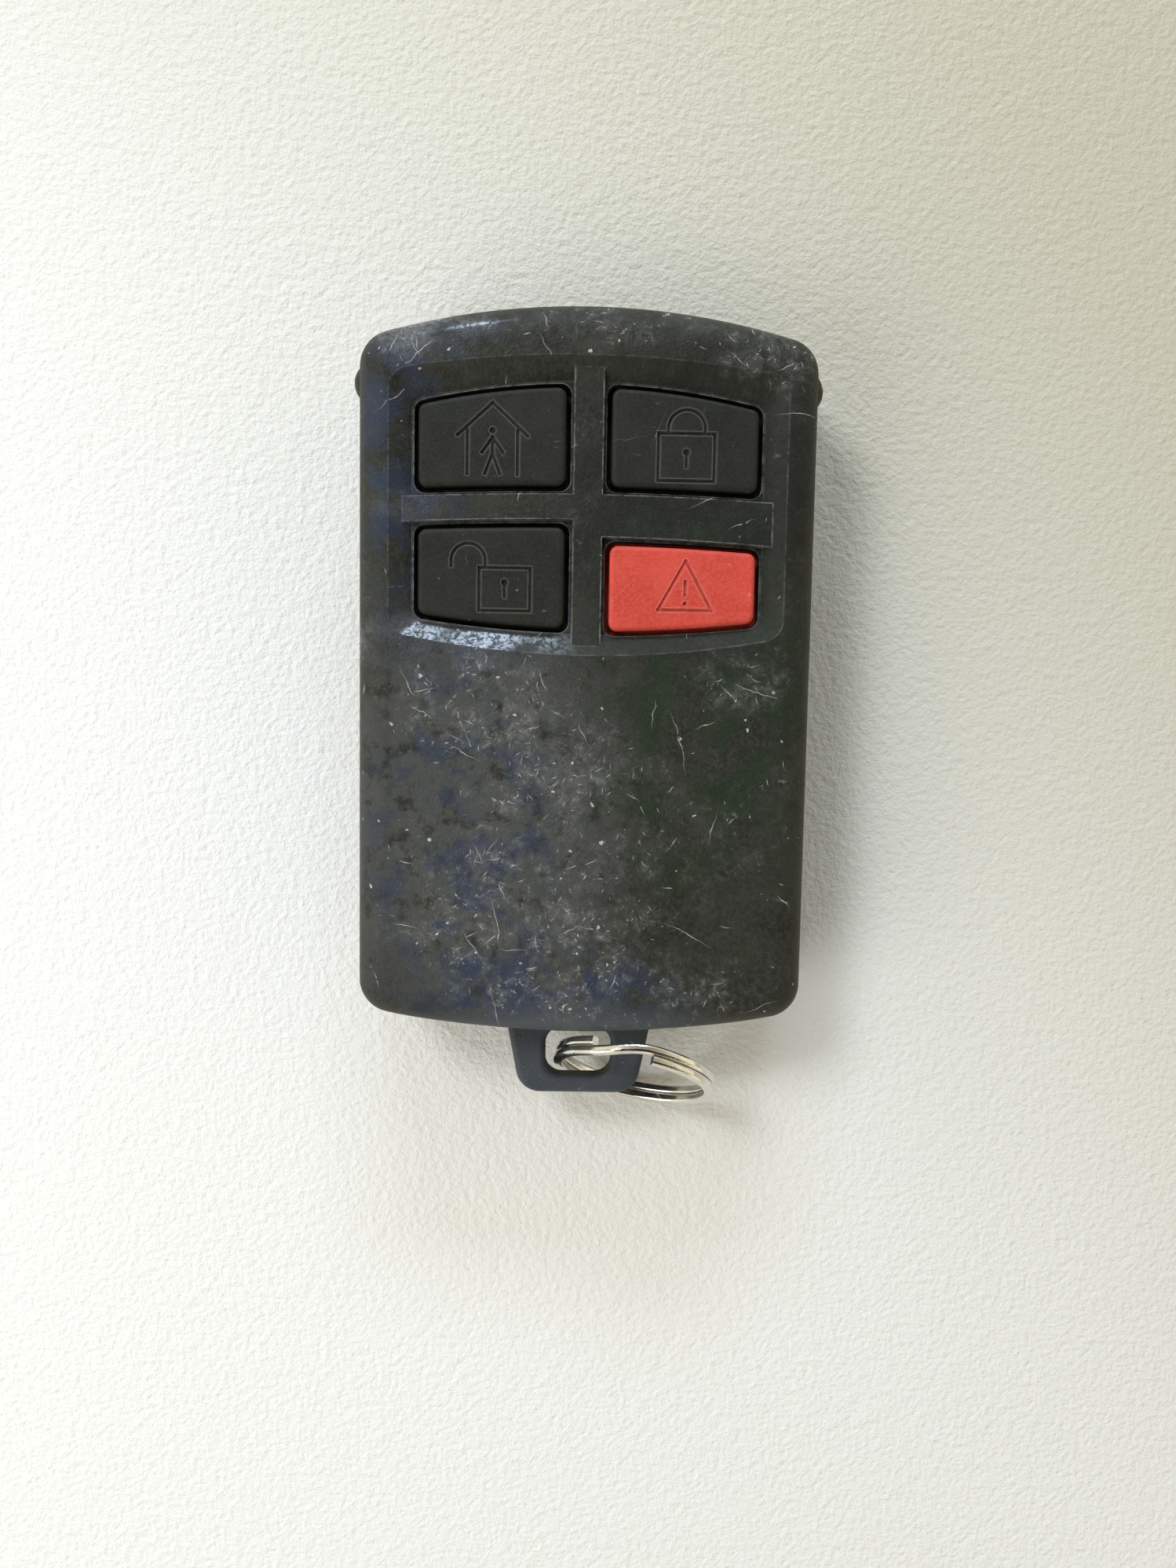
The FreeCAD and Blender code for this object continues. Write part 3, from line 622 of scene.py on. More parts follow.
class Surface(Graph):
    """One new material's graph, with its shader and with where a point lies on the piece."""

    def __init__(self, name: str, effects: Effects) -> None:
        """Makes the material, its shader, its output and its coordinates.

        Args:
            name: the material's name.
            effects: the shared effects.
        """
        self.material = bpy.data.materials.new(name)
        self.material.use_nodes = True
        super().__init__(self.material.node_tree)
        self.tree.nodes.clear()
        self.effects = effects
        self.shader = self.add("BsdfPrincipled")
        self.feed(self.add("OutputMaterial").inputs["Surface"], self.shader.outputs[0])
        where = self.effect(effects.place)
        self.place, self.flat, self.upward = (where.outputs[n] for n in ("Place", "Flat", "Upward"))

    def shade(self, name: str, source: Source) -> None:
        """Feeds one of the shader's inputs."""
        self.feed(self.shader.inputs[name], source)

    def cloud(self, size: float, detail: float = 2.0, rough: float = 0.5) -> Socket:
        """Makes clouds over the piece; the arguments are those of noise."""
        return self.noise(self.place, size, detail, rough)

    def zone(self, zone: Zone) -> Socket:
        """Finds where a soft region is."""
        return self.effect(self.effects.zone, Place=self.place, Centre=zone.centre,
                           Reach=zone.reach).outputs[0]

    def patches(self, size: float, cover: float, softness: float, seed: float) -> Socket:
        """Makes soft-edged patches; the arguments are the effect's inputs."""
        return self.effect(self.effects.patches, Place=self.place, Size=size, Cover=cover,
                           Softness=softness, Seed=seed).outputs[0]

    def scratches(self, wear: Source, width: float) -> Socket:
        """Makes hairlines of a width, as many as the wear says."""
        return self.effect(self.effects.scratches, Flat=self.flat, Wear=wear, Width=width).outputs[0]

    def specks(self, spacing: float, size: float, share: Source) -> Socket:
        """Makes nicks or flecks; the arguments are the effect's inputs."""
        return self.effect(self.effects.specks, Place=self.place, Spacing=spacing, Size=size,
                           Share=share).outputs[0]

    def relief(self, height: Socket, depth: float) -> None:
        """Raises a height over the shader's surface.

        Args:
            height: the height's socket.
            depth: what a height of 1 is, in millimetres.
        """
        bump = self.add("Bump")
        bump.inputs["Distance"].default_value = depth / MM_PER_M
        self.feed(bump.inputs["Height"], height)
        self.shade("Normal", bump.outputs[0])


@dataclass(frozen=True)
class Plastic:
    """A moulded plastic with grain, patches of tint, scratches, specks and worn edges, whose colour also
    paints highlights.
    """

    name: str
    colour: Colour
    dark: Colour
    light: Colour
    # worn: the colour of marks and rubbed edges; on the edges it also paints highlights.
    worn: Colour
    roughness: float = 0.5
    rough_swing: float = 0.12
    gloss: float = 0.2
    grain_size: float = 0.2
    grain_depth: float = 0.25
    patch_size: float = 6.0
    mottle_share: float = 0.42
    pitted_share: float = 0.6
    bloom_share: float = 0.55
    edge_radius: float = 0.25
    # How much of the worn colour the edges get, rubbed wear and painted highlight together.
    edge_wear_and_highlight: float = 0.5
    edge_break: float = 0.5
    edge_rough: float = -0.1
    scratch_share: float = 0.15
    scratch_width: float = 0.05
    scratch_strength: float = 0.5
    scuff_strength: float = 0.9
    nick_strength: float = 0.8
    speck_share: float = 0.15
    mark_rough: float = 0.15
    mark_depth: float = 0.2
    wear_zones: tuple[Zone, ...] = ()
    # Places that are glossier, where the colour also gets a painted bluish sheen.
    polish_and_sheen_zones: tuple[Zone, ...] = ()
    tints: tuple[Tint, ...] = ()
    # Painted light: a colour for the steep walls and round-overs, chosen by their facing.
    painted_side_light: Colour | None = None
    painted_side_share: float = 0.7
    # Painted sheen: a bluish lighter colour for the glossy places, and how much of it shows.
    painted_sheen: Colour = (0.07, 0.08, 0.11)
    painted_sheen_share: float = 0.35
    polished_rough: float = -0.24
    coat_rough: float = 0.2
    # A lighter chalky film on worn places; its colour also paints a sheen of lamp light.
    film_and_sheen: float = 0.0
    film_and_sheen_colour: Colour = (0.17, 0.17, 0.165)

    def build(self, effects: Effects) -> Material:
        """Makes the material.

        Args:
            effects: the shared effects.

        Returns:
            The finished material.
        """
        on = Surface(self.name, effects)
        on.shade("Specular IOR Level", self.gloss)
        wear = self.gather(on, self.wear_zones, on.math("MULTIPLY", on.cloud(9.0), 0.25))
        marks = self.mark(on, wear)
        edge = on.effect(effects.edge, Place=on.place, Radius=self.edge_radius,
                         Break=self.edge_break).outputs[0]
        # Rubbed edges take the worn colour; along the edges it also paints highlights.
        colour = on.tint(self.tinge(on, self.mould(on)), self.worn, edge, self.edge_wear_and_highlight)
        rough = on.math("MULTIPLY_ADD", on.cloud(2.4, 5.0, 0.6), self.rough_swing,
                        self.roughness - self.rough_swing / 2)
        rough = on.math("MULTIPLY_ADD", edge, self.edge_rough, rough)
        if self.polish_and_sheen_zones:
            polish_and_sheen = self.gather(on, self.polish_and_sheen_zones, 0.0)
            rough = on.math("MULTIPLY_ADD", polish_and_sheen, self.polished_rough, rough)
            # Painted sheen: the glossy places get a bluish lighter colour.
            colour = on.tint(colour, self.painted_sheen, polish_and_sheen, self.painted_sheen_share)
            glint = on.step(on.cloud(0.34, 3.0, 0.65), 0.40, 0.58)
            on.shade("Coat Weight", on.math("MULTIPLY", polish_and_sheen, glint))
            on.shade("Coat Roughness", self.coat_rough)
        # Chalky film on the worn places, and partly painted sheen of lamp light on the lower left.
        if self.film_and_sheen:
            chalk_and_sheen = on.step(on.cloud(0.8, 5.0, 0.72), 0.30, 0.72)
            colour = on.tint(colour, self.film_and_sheen_colour, on.math("MULTIPLY", wear, chalk_and_sheen), self.film_and_sheen)
        on.shade("Base Color", on.blend(marks, colour, self.worn))
        on.shade("Roughness", on.math("MULTIPLY_ADD", marks, self.mark_rough, rough))
        grain = on.effect(effects.grain, Place=on.place, Size=self.grain_size).outputs[0]
        height = on.math("SUBTRACT", on.math("MULTIPLY", grain, self.grain_depth),
                         on.math("MULTIPLY", marks, self.mark_depth))
        on.relief(height, self.grain_size)
        return on.material

    def mould(self, on: Surface) -> Socket:
        """Works out the plastic's own uneven colour.

        Args:
            on: the material's surface.

        Returns:
            The colour's socket.
        """
        cloud = on.step(on.cloud(self.patch_size, 5.0, 0.6), 0.35, 0.65)
        colour = on.blend(cloud, self.dark, self.colour)
        mottle = on.step(on.cloud(self.patch_size * 0.13, 4.0, 0.7), 0.38, 0.66)
        colour = on.tint(colour, self.dark, mottle, self.mottle_share)
        pitted = on.step(on.cloud(self.grain_size * 1.8, 3.0, 0.75), 0.44, 0.60)
        colour = on.tint(colour, self.light, pitted, self.pitted_share)
        bloom = on.patches(self.patch_size * 0.45, 0.42, softness=0.2, seed=3.0)
        return on.tint(colour, self.light, bloom, self.bloom_share)

    def tinge(self, on: Surface, colour: Socket) -> Socket:
        """Lays the tinted patches, painted shade and sheen among them, and the painted light on the side
        walls over a colour.

        Args:
            on: the material's surface.
            colour: the colour so far.

        Returns:
            The new colour's socket.
        """
        for number, tint in enumerate(self.tints):
            patch = on.patches(tint.size, tint.cover, softness=0.07, seed=5.0 + number)
            mask = on.math("MULTIPLY", on.zone(tint.zone), patch)
            colour = on.tint(colour, tint.colour, mask, tint.zone.strength)
        # Painted light: steep walls and round-overs get a lighter olive by how they face.
        if self.painted_side_light:
            painted_side_mask = on.math("SUBTRACT", 1.0, on.step(on.upward, 0.1, 0.85))
            colour = on.tint(colour, self.painted_side_light, painted_side_mask, self.painted_side_share)
        return colour

    def mark(self, on: Surface, wear: Socket) -> Socket:
        """Adds up the scratches, scuffs and nicks.

        Args:
            on: the material's surface.
            wear: how worn a point is.

        Returns:
            The marks' socket.
        """
        worn = on.math("ADD", wear, self.scratch_share, clamp=True)
        scuffed = on.effect(on.effects.scuffs, Flat=on.flat, Wear=worn).outputs[0]
        nicks = on.specks(0.8, 0.2, on.math("MULTIPLY_ADD", wear, 0.4, self.speck_share))
        marks = on.add_mark(on.scratches(worn, self.scratch_width), scuffed, self.scuff_strength)
        marks = on.add_mark(marks, nicks, self.nick_strength)
        return on.math("MULTIPLY", marks, self.scratch_strength)

    @staticmethod
    def gather(on: Surface, zones: tuple[Zone, ...], start: Source) -> Socket:
        """Adds up soft regions.

        Args:
            on: the material's surface.
            zones: the regions.
            start: what counts everywhere.

        Returns:
            The total's socket, broken up by clouds.
        """
        total = start
        for zone in zones:
            total = on.math("MULTIPLY_ADD", on.zone(zone), zone.strength, total)
        broken = on.step(on.cloud(3.2, 4.0, 0.6), 0.3, 0.68)
        return on.math("MULTIPLY", total, broken, clamp=True)


@dataclass(frozen=True)
class Metal:
    """A plated, rolled or drawn metal with fine lines, tarnish and small scratches."""

    name: str
    colour: Colour
    tarnish: Colour
    roughness: float = 0.22
    rough_swing: float = 0.12
    stretch: Point = (0.6, 12.0, 0.6)
    line_depth: float = 0.12
    line_rough: float = 0.08
    tarnish_cover: float = 0.4
    tarnish_size: float = 2.0
    tarnish_share: float = 0.6
    scratch_share: float = 0.3
    scratch_width: float = 0.03
    scratch_bright: float = 0.3
    scratch_rough: float = 0.15
    scratch_depth: float = 0.15
    relief_depth: float = 0.12

    def build(self, effects: Effects) -> Material:
        """Makes the material.

        Args:
            effects: the shared effects.

        Returns:
            The finished material.
        """
        on = Surface(self.name, effects)
        on.shade("Metallic", 1.0)
        stain = on.patches(self.tarnish_size, self.tarnish_cover, softness=0.18, seed=2.0)
        scratched = on.scratches(self.scratch_share, self.scratch_width)
        colour = on.tint(self.colour, self.tarnish, stain, self.tarnish_share)
        on.shade("Base Color", on.tint(colour, self.colour, scratched, self.scratch_bright))
        lines = on.effect(effects.lines, Place=on.place, Stretch=self.stretch).outputs[0]
        rough = on.math("MULTIPLY_ADD", stain, self.rough_swing, self.roughness - self.rough_swing / 2)
        rough = on.math("MULTIPLY_ADD", scratched, self.scratch_rough, rough)
        on.shade("Roughness", on.math("MULTIPLY_ADD", lines, self.line_rough, rough))
        height = on.math("SUBTRACT", on.math("MULTIPLY", lines, self.line_depth),
                         on.math("MULTIPLY", scratched, self.scratch_depth))
        on.relief(height, self.relief_depth)
        return on.material


@dataclass(frozen=True)
class Laminate:
    """Glass-cloth circuit board with solder mask and tracks."""

    name: str
    mask: Colour = (0.012, 0.075, 0.028)
    track: Colour = (0.03, 0.16, 0.05)
    cloth: float = 0.55
    cloth_share: float = 0.12
    track_pitch: float = 1.6
    track_fold: float = 0.25
    track_edge: tuple[float, float] = (0.08, 0.14)
    relief_depth: float = 0.1

    def build(self, effects: Effects) -> Material:
        """Makes the material.

        Args:
            effects: the shared effects.

        Returns:
            The finished material.
        """
        on = Surface(self.name, effects)
        cells = on.cells(on.flat, self.track_pitch, voronoi_dimensions="2D", distance="MANHATTAN")
        folded = on.math("PINGPONG", cells.outputs["Distance"], self.track_fold)
        tracks = on.step(folded, *self.track_edge)
        weave = on.add("TexChecker")
        weave.inputs["Scale"].default_value = 1.0 / self.cloth
        on.feed(weave.inputs["Vector"], on.flat)
        colour = on.blend(tracks, self.track, self.mask)
        on.shade("Base Color", on.tint(colour, self.track, weave.outputs["Fac"], self.cloth_share))
        on.shade("Roughness", on.math("MULTIPLY_ADD", on.cloud(1.5, 3.0), 0.15, 0.28))
        on.relief(on.math("MULTIPLY_ADD", tracks, -0.4, weave.outputs["Fac"]), self.relief_depth)
        return on.material


@dataclass(frozen=True)
class TableTop:
    """Off-white leather-grained board that the remote lies on, with painted shade, warmer and darker,
    toward its upper right.
    """

    name: str = "table_top"
    pale: Colour = (0.87, 0.87, 0.865)
    warm: Colour = (0.85, 0.845, 0.82)
    warm_size: float = 60.0
    painted_shade: Colour = (0.56, 0.53, 0.42)
    # Painted shade: the board gets warmer and darker toward its upper right.
    painted_shade_toward: Point = (0.55, 0.6, 0.0)
    painted_shade_from: float = -28.0
    painted_shade_to: float = 60.0
    grain_size: float = 0.75
    relief_depth: float = 0.16
    fleck: Colour = (0.35, 0.33, 0.28)
    fleck_strength: float = 0.5

    def build(self, effects: Effects) -> Material:
        """Makes the material.

        Args:
            effects: the shared effects.

        Returns:
            The finished material.
        """
        on = Surface(self.name, effects)
        colour = on.blend(on.cloud(self.warm_size, 3.0), self.pale, self.warm)
        # Painted shade toward the upper right.
        toward = on.measure("DOT_PRODUCT", on.place, self.painted_shade_toward)
        painted_shade_share = on.step(toward, self.painted_shade_from, self.painted_shade_to)
        colour = on.blend(painted_shade_share, colour, self.painted_shade)
        flecks = on.specks(4.5, 0.18, 0.12)
        on.shade("Base Color", on.tint(colour, self.fleck, flecks, self.fleck_strength))
        on.shade("Roughness", on.math("MULTIPLY_ADD", on.cloud(3.0), 0.1, 0.5))
        creases = on.cells(on.place, self.grain_size, feature="SMOOTH_F1")
        height = on.math("MULTIPLY_ADD", creases.outputs["Distance"], 0.5, on.cloud(0.5, 3.0, 0.6))
        on.relief(height, self.relief_depth)
        return on.material


# ------------------------------------------------------------------ sub-assemblies
def dress(nodes: tuple[str, ...], material: Material) -> None:
    """Gives CAD pieces their finish.

    Args:
        nodes: the pieces' names.
        material: the finish.
    """
    for name in nodes:
        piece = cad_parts[name]
        piece.data.materials.clear()
        piece.data.materials.append(material)
        log.info("%s: %s", name, material.name)


@dataclass
class Housing:
    """The two shells with the key loop, and the case screw."""

    grain_size: float = 0.22
    # Navy paints a bluish sheen of reflected light on the left side, the lower left and the bottom.
    navy: Colour = (0.022, 0.032, 0.062)
    # Slate paints a bluish reflection on the lower round, and tints the key loop bluish grey.
    slate: Colour = (0.060, 0.072, 0.092)
    # Dust colour, made light enough to also paint the brighter light on the lower left.
    dust_and_painted_light: Colour = (0.070, 0.073, 0.071)
    # Forest paints a darker green shade on the right side.
    forest: Colour = (0.011, 0.022, 0.009)
    # Painted shade: the colour that darkens the upper right of the face.
    shade: Colour = (0.009, 0.010, 0.0075)
    wear_zones: tuple[Zone, ...] = (
        Zone((-9.0, -1.5, 13.0), (9.0, 6.0, 6.0), 0.85),
        Zone((-3.0, -7.0, 13.0), (9.0, 7.0, 6.0), 0.6),
        Zone((-6.0, -21.0, 13.0), (13.0, 9.0, 6.0), 0.75),
        Zone((4.0, -26.5, 13.0), (15.0, 4.5, 6.0), 0.8),
        Zone((13.0, 0.0, 13.0), (5.0, 3.5, 6.0), 0.8),
        Zone((15.0, 26.5, 12.0), (6.0, 4.0, 6.0), 0.9),
        Zone((-15.5, 27.0, 12.0), (5.0, 3.0, 6.0), 0.6),
        Zone((3.0, 28.6, 12.5), (13.0, 2.4, 5.0), 0.55),
        Zone((0.0, -14.0, 13.0), (17.0, 12.0, 6.0), 0.35),
    )
    # Glossier places that also get a painted bluish sheen: the slope under the disarm key, the upper left
    # corner and the left bar.
    polish_and_sheen_zones: tuple[Zone, ...] = (
        Zone((-11.5, 2.9, 12.5), (11.5, 3.4, 4.0), 1.9),
        Zone((-13.0, 27.8, 12.2), (8.0, 3.4, 4.0), 1.7),
        Zone((-14.5, 14.0, 12.6), (4.5, 2.0, 3.0), 1.2),
    )

    def tints(self) -> tuple[Tint, ...]:
        """The tinted patches, each in its own region: painted shade on the upper right, dust also
        lightened as painted light on the lower left, navy as painted bluish sheen, darker green as painted
        shade on the right, and slate as painted bluish reflection on the lower round and a bluish grey on
        the key loop.
        """
        return (
            # Painted shade: a dark patch over the upper right of the face.
            Tint(self.shade, Zone((9.0, 15.0, 13.0), (17.0, 18.0, 12.0), 0.8), 14.0, 0.95),
            # Dust patches on the lower left, also lightened as painted light.
            Tint(self.dust_and_painted_light, Zone((-9.0, -12.0, 13.0), (17.0, 26.0, 9.0), 0.75), 1.8, 0.58),
            # Navy patches: painted bluish sheen on the lower left, the bottom and the left side.
            Tint(self.navy, Zone((-10.0, -14.0, 13.0), (11.0, 22.0, 9.0), 0.85), 3.4, 0.46),
            Tint(self.navy, Zone((-3.0, -27.0, 13.0), (15.0, 6.5, 9.0), 0.9), 2.6, 0.5),
            Tint(self.navy, Zone((-15.0, 18.0, 13.0), (7.0, 16.0, 9.0), 0.8), 4.2),
            # Darker green patches: painted shade on the right side.
            Tint(self.forest, Zone((10.0, -4.0, 13.0), (12.0, 24.0, 9.0), 0.7), 4.6),
            # Slate: painted bluish reflection on the lower round, then a bluish grey on the key loop.
            Tint(self.slate, Zone((0.0, -30.2, 11.0), (17.0, 4.2, 6.0), 1.0), 5.0, 0.72),
            Tint(self.slate, Zone((0.0, -34.5, 6.0), (12.0, 7.0, 7.0), 0.9), 12.0, 0.85),
        )

    def build(self, effects: Effects) -> None:
        """Dresses the shells and the screw.

        Args:
            effects: the shared effects.
        """
        plastic = Plastic(
            "housing_plastic", (0.024, 0.025, 0.0175), (0.011, 0.0125, 0.0085), (0.038, 0.038, 0.029),
            # The light worn colour also paints highlights along the rubbed edges.
            (0.56, 0.56, 0.54), roughness=0.56, rough_swing=0.16, grain_size=self.grain_size,
            # The film also paints a sheen of lamp light on the lower left.
            grain_depth=0.4, edge_radius=0.2, edge_wear_and_highlight=0.42, edge_break=0.50, film_and_sheen=0.36,
            scratch_share=0.12, scratch_width=0.06, scratch_strength=0.95, speck_share=0.07,
            wear_zones=self.wear_zones, polish_and_sheen_zones=self.polish_and_sheen_zones, tints=self.tints(),
            # Painted light: a lighter olive on the steep walls and round-overs.
            painted_side_light=(0.040, 0.041, 0.024))
        dress(("front_shell", "rear_shell"), plastic.build(effects))
        screw = Metal("screw_steel", (0.50, 0.49, 0.46), (0.20, 0.18, 0.15), roughness=0.35,
                      stretch=(4.0, 4.0, 4.0))
        dress(("case_screw",), screw.build(effects))


@dataclass
class Keypad:
    """The three black keys and the red panic key."""

    grain_size: float = 0.16
    black: tuple[str, ...] = ("stay_key", "arm_key", "disarm_key")
    red: tuple[str, ...] = ("panic_key",)

    def build(self, effects: Effects) -> None:
        """Dresses the keys.

        Args:
            effects: the shared effects.
        """
        # On both kinds of key, the edge colour also paints light rims of highlight along the top edges.
        black = Plastic(
            "key_plastic", (0.017, 0.018, 0.014), (0.011, 0.012, 0.009), (0.025, 0.026, 0.021),
            (0.34, 0.35, 0.31), roughness=0.55, grain_size=self.grain_size, patch_size=4.0,
            edge_radius=0.2, edge_wear_and_highlight=0.3, edge_break=0.36, scratch_share=0.14,
            scratch_width=0.04, scratch_strength=0.35, speck_share=0.12)
        dress(self.black, black.build(effects))
        red = Plastic(
            "panic_plastic", (0.60, 0.066, 0.045), (0.50, 0.050, 0.036), (0.66, 0.095, 0.070),
            (0.84, 0.36, 0.28), grain_size=self.grain_size, grain_depth=0.2, patch_size=4.0,
            edge_radius=0.22, edge_wear_and_highlight=0.45, edge_break=0.40, scratch_share=0.14,
            scratch_width=0.04, scratch_strength=0.4)
        dress(self.red, red.build(effects))


@dataclass
class Switches:
    """The four tactile switches under the keys."""

    keys: tuple[str, ...] = ("stay", "arm", "disarm", "panic")
    dome_bed: float = 0.00775
    dome_kept: float = 0.1

    def part(self, name: str) -> tuple[str, ...]:
        """The node of one switch part under each key."""
        return tuple(f"{key}_switch_{name}" for key in self.keys)

    def build(self, effects: Effects) -> None:
        """Dresses each switch's base, cover, dome and plunger.

        Args:
            effects: the shared effects.
        """
        base = Plastic("switch_plastic", (0.020, 0.020, 0.021), (0.014, 0.014, 0.015), (0.03, 0.03, 0.03),
                       (0.2, 0.2, 0.2), grain_size=0.1, patch_size=1.5)
        cover = Metal("tinned_steel", (0.62, 0.61, 0.58), (0.42, 0.41, 0.38), stretch=(10.0, 0.5, 0.5))
        dome = Metal("dome_steel", (0.70, 0.69, 0.66), (0.52, 0.48, 0.40), roughness=0.16)
        plunger = Plastic("plunger_plastic", (0.16, 0.10, 0.05), (0.12, 0.075, 0.04), (0.20, 0.13, 0.07),
                          (0.4, 0.32, 0.22), grain_size=0.1, patch_size=1.2)
        for name, finish, slot in (("base", base, "switch_plastic"), ("cover", cover, "tinned_steel"),
                                   ("dome", dome, "dome_steel"), ("plunger", plunger, "plunger_plastic")):
            dress(self.part(name), finish.build(effects))
        for key in self.keys:
            self.flatten_dome(key)

    def flatten_dome(self, key: str) -> None:
        """Gives the snap dome under a key its own copy of its mesh.

        Args:
            key: the key over it.
        """
        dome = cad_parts[f"{key}_switch_dome"]
        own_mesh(dome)
        log.info("%s flattens with its key", dome.name)


@dataclass
class Electronics:
    """The circuit board, its chips and its antenna."""

    chips: tuple[str, ...] = ("microcontroller",)
    tinned: tuple[str, ...] = ("microcontroller_leads", "radio_resonator", "timing_crystal")
    passives: tuple[str, ...] = ("chip_capacitors", "chip_resistors")

    def build(self, effects: Effects) -> None:
        """Dresses the board and what is soldered to it.

        Args:
            effects: the shared effects.
        """
        dress(("circuit_board",), Laminate("board_laminate").build(effects))
        epoxy = Plastic("chip_epoxy", (0.012, 0.012, 0.013), (0.008, 0.008, 0.009), (0.02, 0.02, 0.021),
                        (0.16, 0.16, 0.16), grain_size=0.08, patch_size=1.0)
        dress(self.chips, epoxy.build(effects))
        tin = Metal("tinned_copper", (0.66, 0.65, 0.62), (0.46, 0.44, 0.40), roughness=0.26,
                    stretch=(3.0, 3.0, 3.0))
        dress(self.tinned, tin.build(effects))
        ceramic = Plastic("capacitor_ceramic", (0.30, 0.22, 0.14), (0.22, 0.16, 0.10), (0.38, 0.29, 0.19),
                          (0.55, 0.50, 0.42), roughness=0.4, grain_size=0.06, patch_size=0.7)
        dress(self.passives, ceramic.build(effects))
        copper = Metal("antenna_copper", (0.78, 0.42, 0.26), (0.42, 0.20, 0.12), stretch=(6.0, 0.6, 6.0))
        dress(("loop_antenna",), copper.build(effects))


@dataclass
class Power:
    """The coin cell and the two contacts that hold it."""

    contacts: tuple[str, ...] = ("positive_contact", "negative_contact")

    def build(self, effects: Effects) -> None:
        """Dresses the cell and its contacts.

        Args:
            effects: the shared effects.
        """
        steel = Metal("cell_steel", (0.63, 0.62, 0.60), (0.48, 0.46, 0.43), roughness=0.24,
                      stretch=(0.4, 9.0, 9.0))
        dress(("cell_can", "cell_cap"), steel.build(effects))
        gasket = Plastic("gasket_polymer", (0.05, 0.05, 0.055), (0.03, 0.03, 0.034), (0.08, 0.08, 0.085),
                         (0.25, 0.25, 0.25), grain_size=0.1, patch_size=2.0)
        dress(("cell_gasket",), gasket.build(effects))
        spring = Metal("contact_steel", (0.66, 0.64, 0.58), (0.46, 0.42, 0.34), roughness=0.3)
        dress(self.contacts, spring.build(effects))


@dataclass
class SplitRing:
    """The plated split ring in the key loop."""

    nickel: Colour = (0.74, 0.72, 0.68)
    tarnish: Colour = (0.52, 0.49, 0.44)

    def build(self, effects: Effects) -> None:
        """Dresses the ring.

        Args:
            effects: the shared effects.
        """
        finish = Metal("ring_nickel", self.nickel, self.tarnish, roughness=0.15,
                       stretch=(3.0, 3.0, 3.0), line_depth=0.08, tarnish_size=1.1, scratch_share=0.5)
        dress(("split_ring",), finish.build(effects))


# ------------------------------------------------------------------ studio
@dataclass(frozen=True)
class Lamp:
    """A soft rectangular lamp aimed at the remote."""

    name: str
    place: Point
    width: float
    height: float
    watts: float
    colour: Colour

    def build(self) -> None:
        """Makes the lamp and turns it toward the origin."""
        light = bpy.data.lights.new(self.name, "AREA")
        light.shape = "RECTANGLE"
        light.size, light.size_y = self.width, self.height
        light.energy, light.color = self.watts, self.colour
        holder = bpy.data.objects.new(self.name, light)
        holder.location = self.place
        holder.rotation_euler = (-holder.location).to_track_quat("-Z", "Y").to_euler()
        bpy.context.scene.collection.objects.link(holder)
        log.info("lamp %s", self.name)


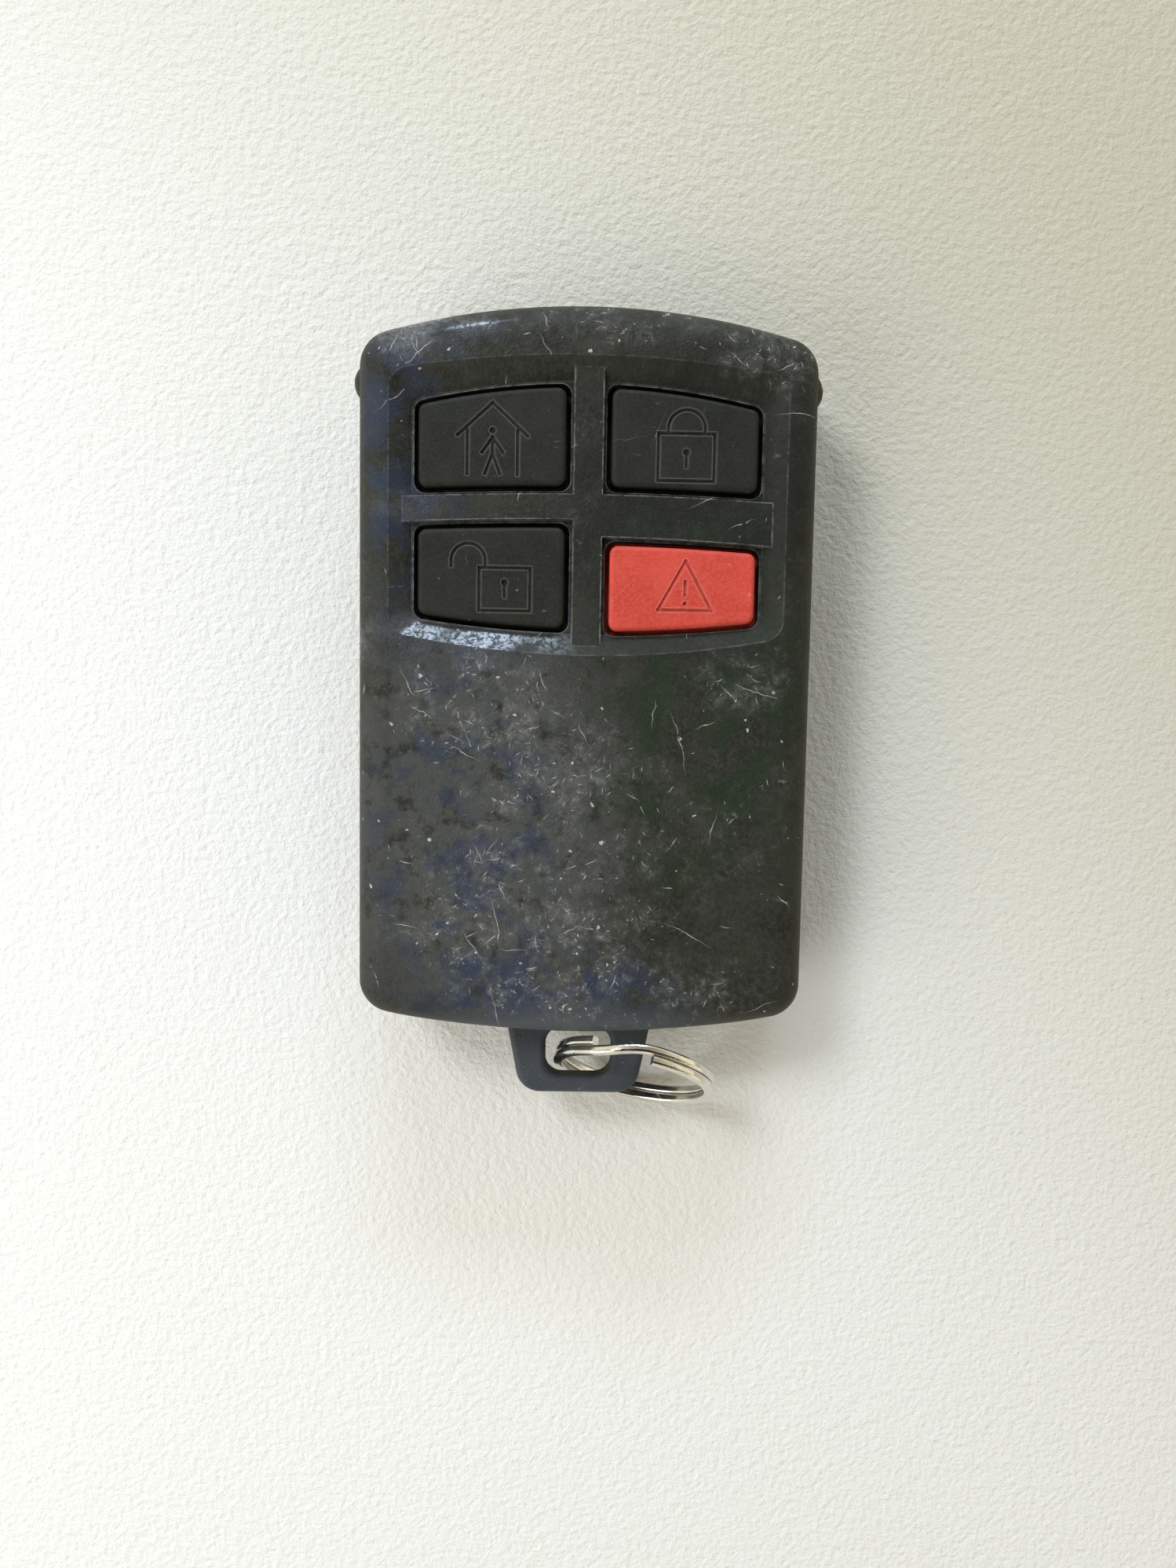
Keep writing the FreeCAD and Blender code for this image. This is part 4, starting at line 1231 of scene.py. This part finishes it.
@dataclass
class Studio:
    """The table top, the lamps, the surroundings and the camera."""

    table_half: float = 1.5
    level_light: Colour = (1.10, 1.01, 0.75)
    overhead_light: Colour = (0.02, 0.02, 0.02)
    fade_height: tuple[float, float] = (0.2, 0.97)
    camera_place: Point = (-0.00107, -0.000116, 0.110816)
    camera_forward: Point = (0.01494, -0.08701, -0.9961)
    camera_up: Point = (-0.01596, 0.99606, -0.08724)
    camera_near: float = 0.01
    lens: float = 27.04
    lamps: tuple[Lamp, ...] = field(default_factory=lambda: (
        Lamp("window", (-0.26, 0.30, 0.44), 0.16, 0.16, 1.5, (0.92, 0.95, 0.98)),
        Lamp("sky_strip", (0.0, 0.50, 0.23), 0.27, 0.08, 1.7, (0.62, 0.78, 1.0)),
        Lamp("left_fill", (-0.22, -0.14, 0.22), 0.24, 0.24, 0.52, (0.96, 0.98, 1.0)),
    ))

    def build(self, effects: Effects) -> None:
        """Makes everything round the remote.

        Args:
            effects: the shared effects.
        """
        self.build_table(effects)
        for lamp in self.lamps:
            lamp.build()
        self.build_surroundings()
        self.build_camera()

    def build_table(self, effects: Effects) -> None:
        """Makes the table top.

        Args:
            effects: the shared effects.
        """
        half = self.table_half
        mesh = bpy.data.meshes.new("table_top")
        mesh.from_pydata([(-half, -half, 0), (half, -half, 0), (half, half, 0), (-half, half, 0)], [],
                         [(0, 1, 2, 3)])
        table = bpy.data.objects.new("table_top", mesh)
        bpy.context.scene.collection.objects.link(table)
        mesh.materials.append(TableTop().build(effects))
        log.info("table top")

    def build_surroundings(self) -> None:
        """Makes the pale light from all round, which fades toward overhead."""
        world = bpy.data.worlds.new("surroundings")
        world.use_nodes = True
        graph = Graph(world.node_tree)
        _, _, height = graph.split(graph.add("TexCoord").outputs["Generated"])
        share = graph.step(height, *self.fade_height)
        graph.feed(world.node_tree.nodes["Background"].inputs["Color"],
                   graph.blend(share, self.level_light, self.overhead_light))
        bpy.context.scene.world = world

    def build_camera(self) -> None:
        """Makes the camera."""
        scene = bpy.context.scene
        camera = bpy.data.objects.new("camera", bpy.data.cameras.new("camera"))
        camera.data.lens = self.lens
        camera.data.clip_start = self.camera_near
        up, back = Vector(self.camera_up), -Vector(self.camera_forward).normalized()
        across = up.cross(back).normalized()
        turn = Matrix((across, back.cross(across), back)).transposed()
        camera.matrix_world = Matrix.Translation(self.camera_place) @ turn.to_4x4()
        scene.collection.objects.link(camera)
        scene.camera = camera
        scene.view_settings.view_transform = "Standard"
        log.info("camera")


def main() -> None:
    """Builds the finishes and the studio, piece by piece."""
    logging.basicConfig(level=logging.INFO, format="%(message)s")
    effects = Effects()
    for assembly in (Housing(), Keypad(), Switches(), Electronics(), Power(), SplitRing(), Studio()):
        assembly.build(effects)


if __name__ == "__main__":
    main()
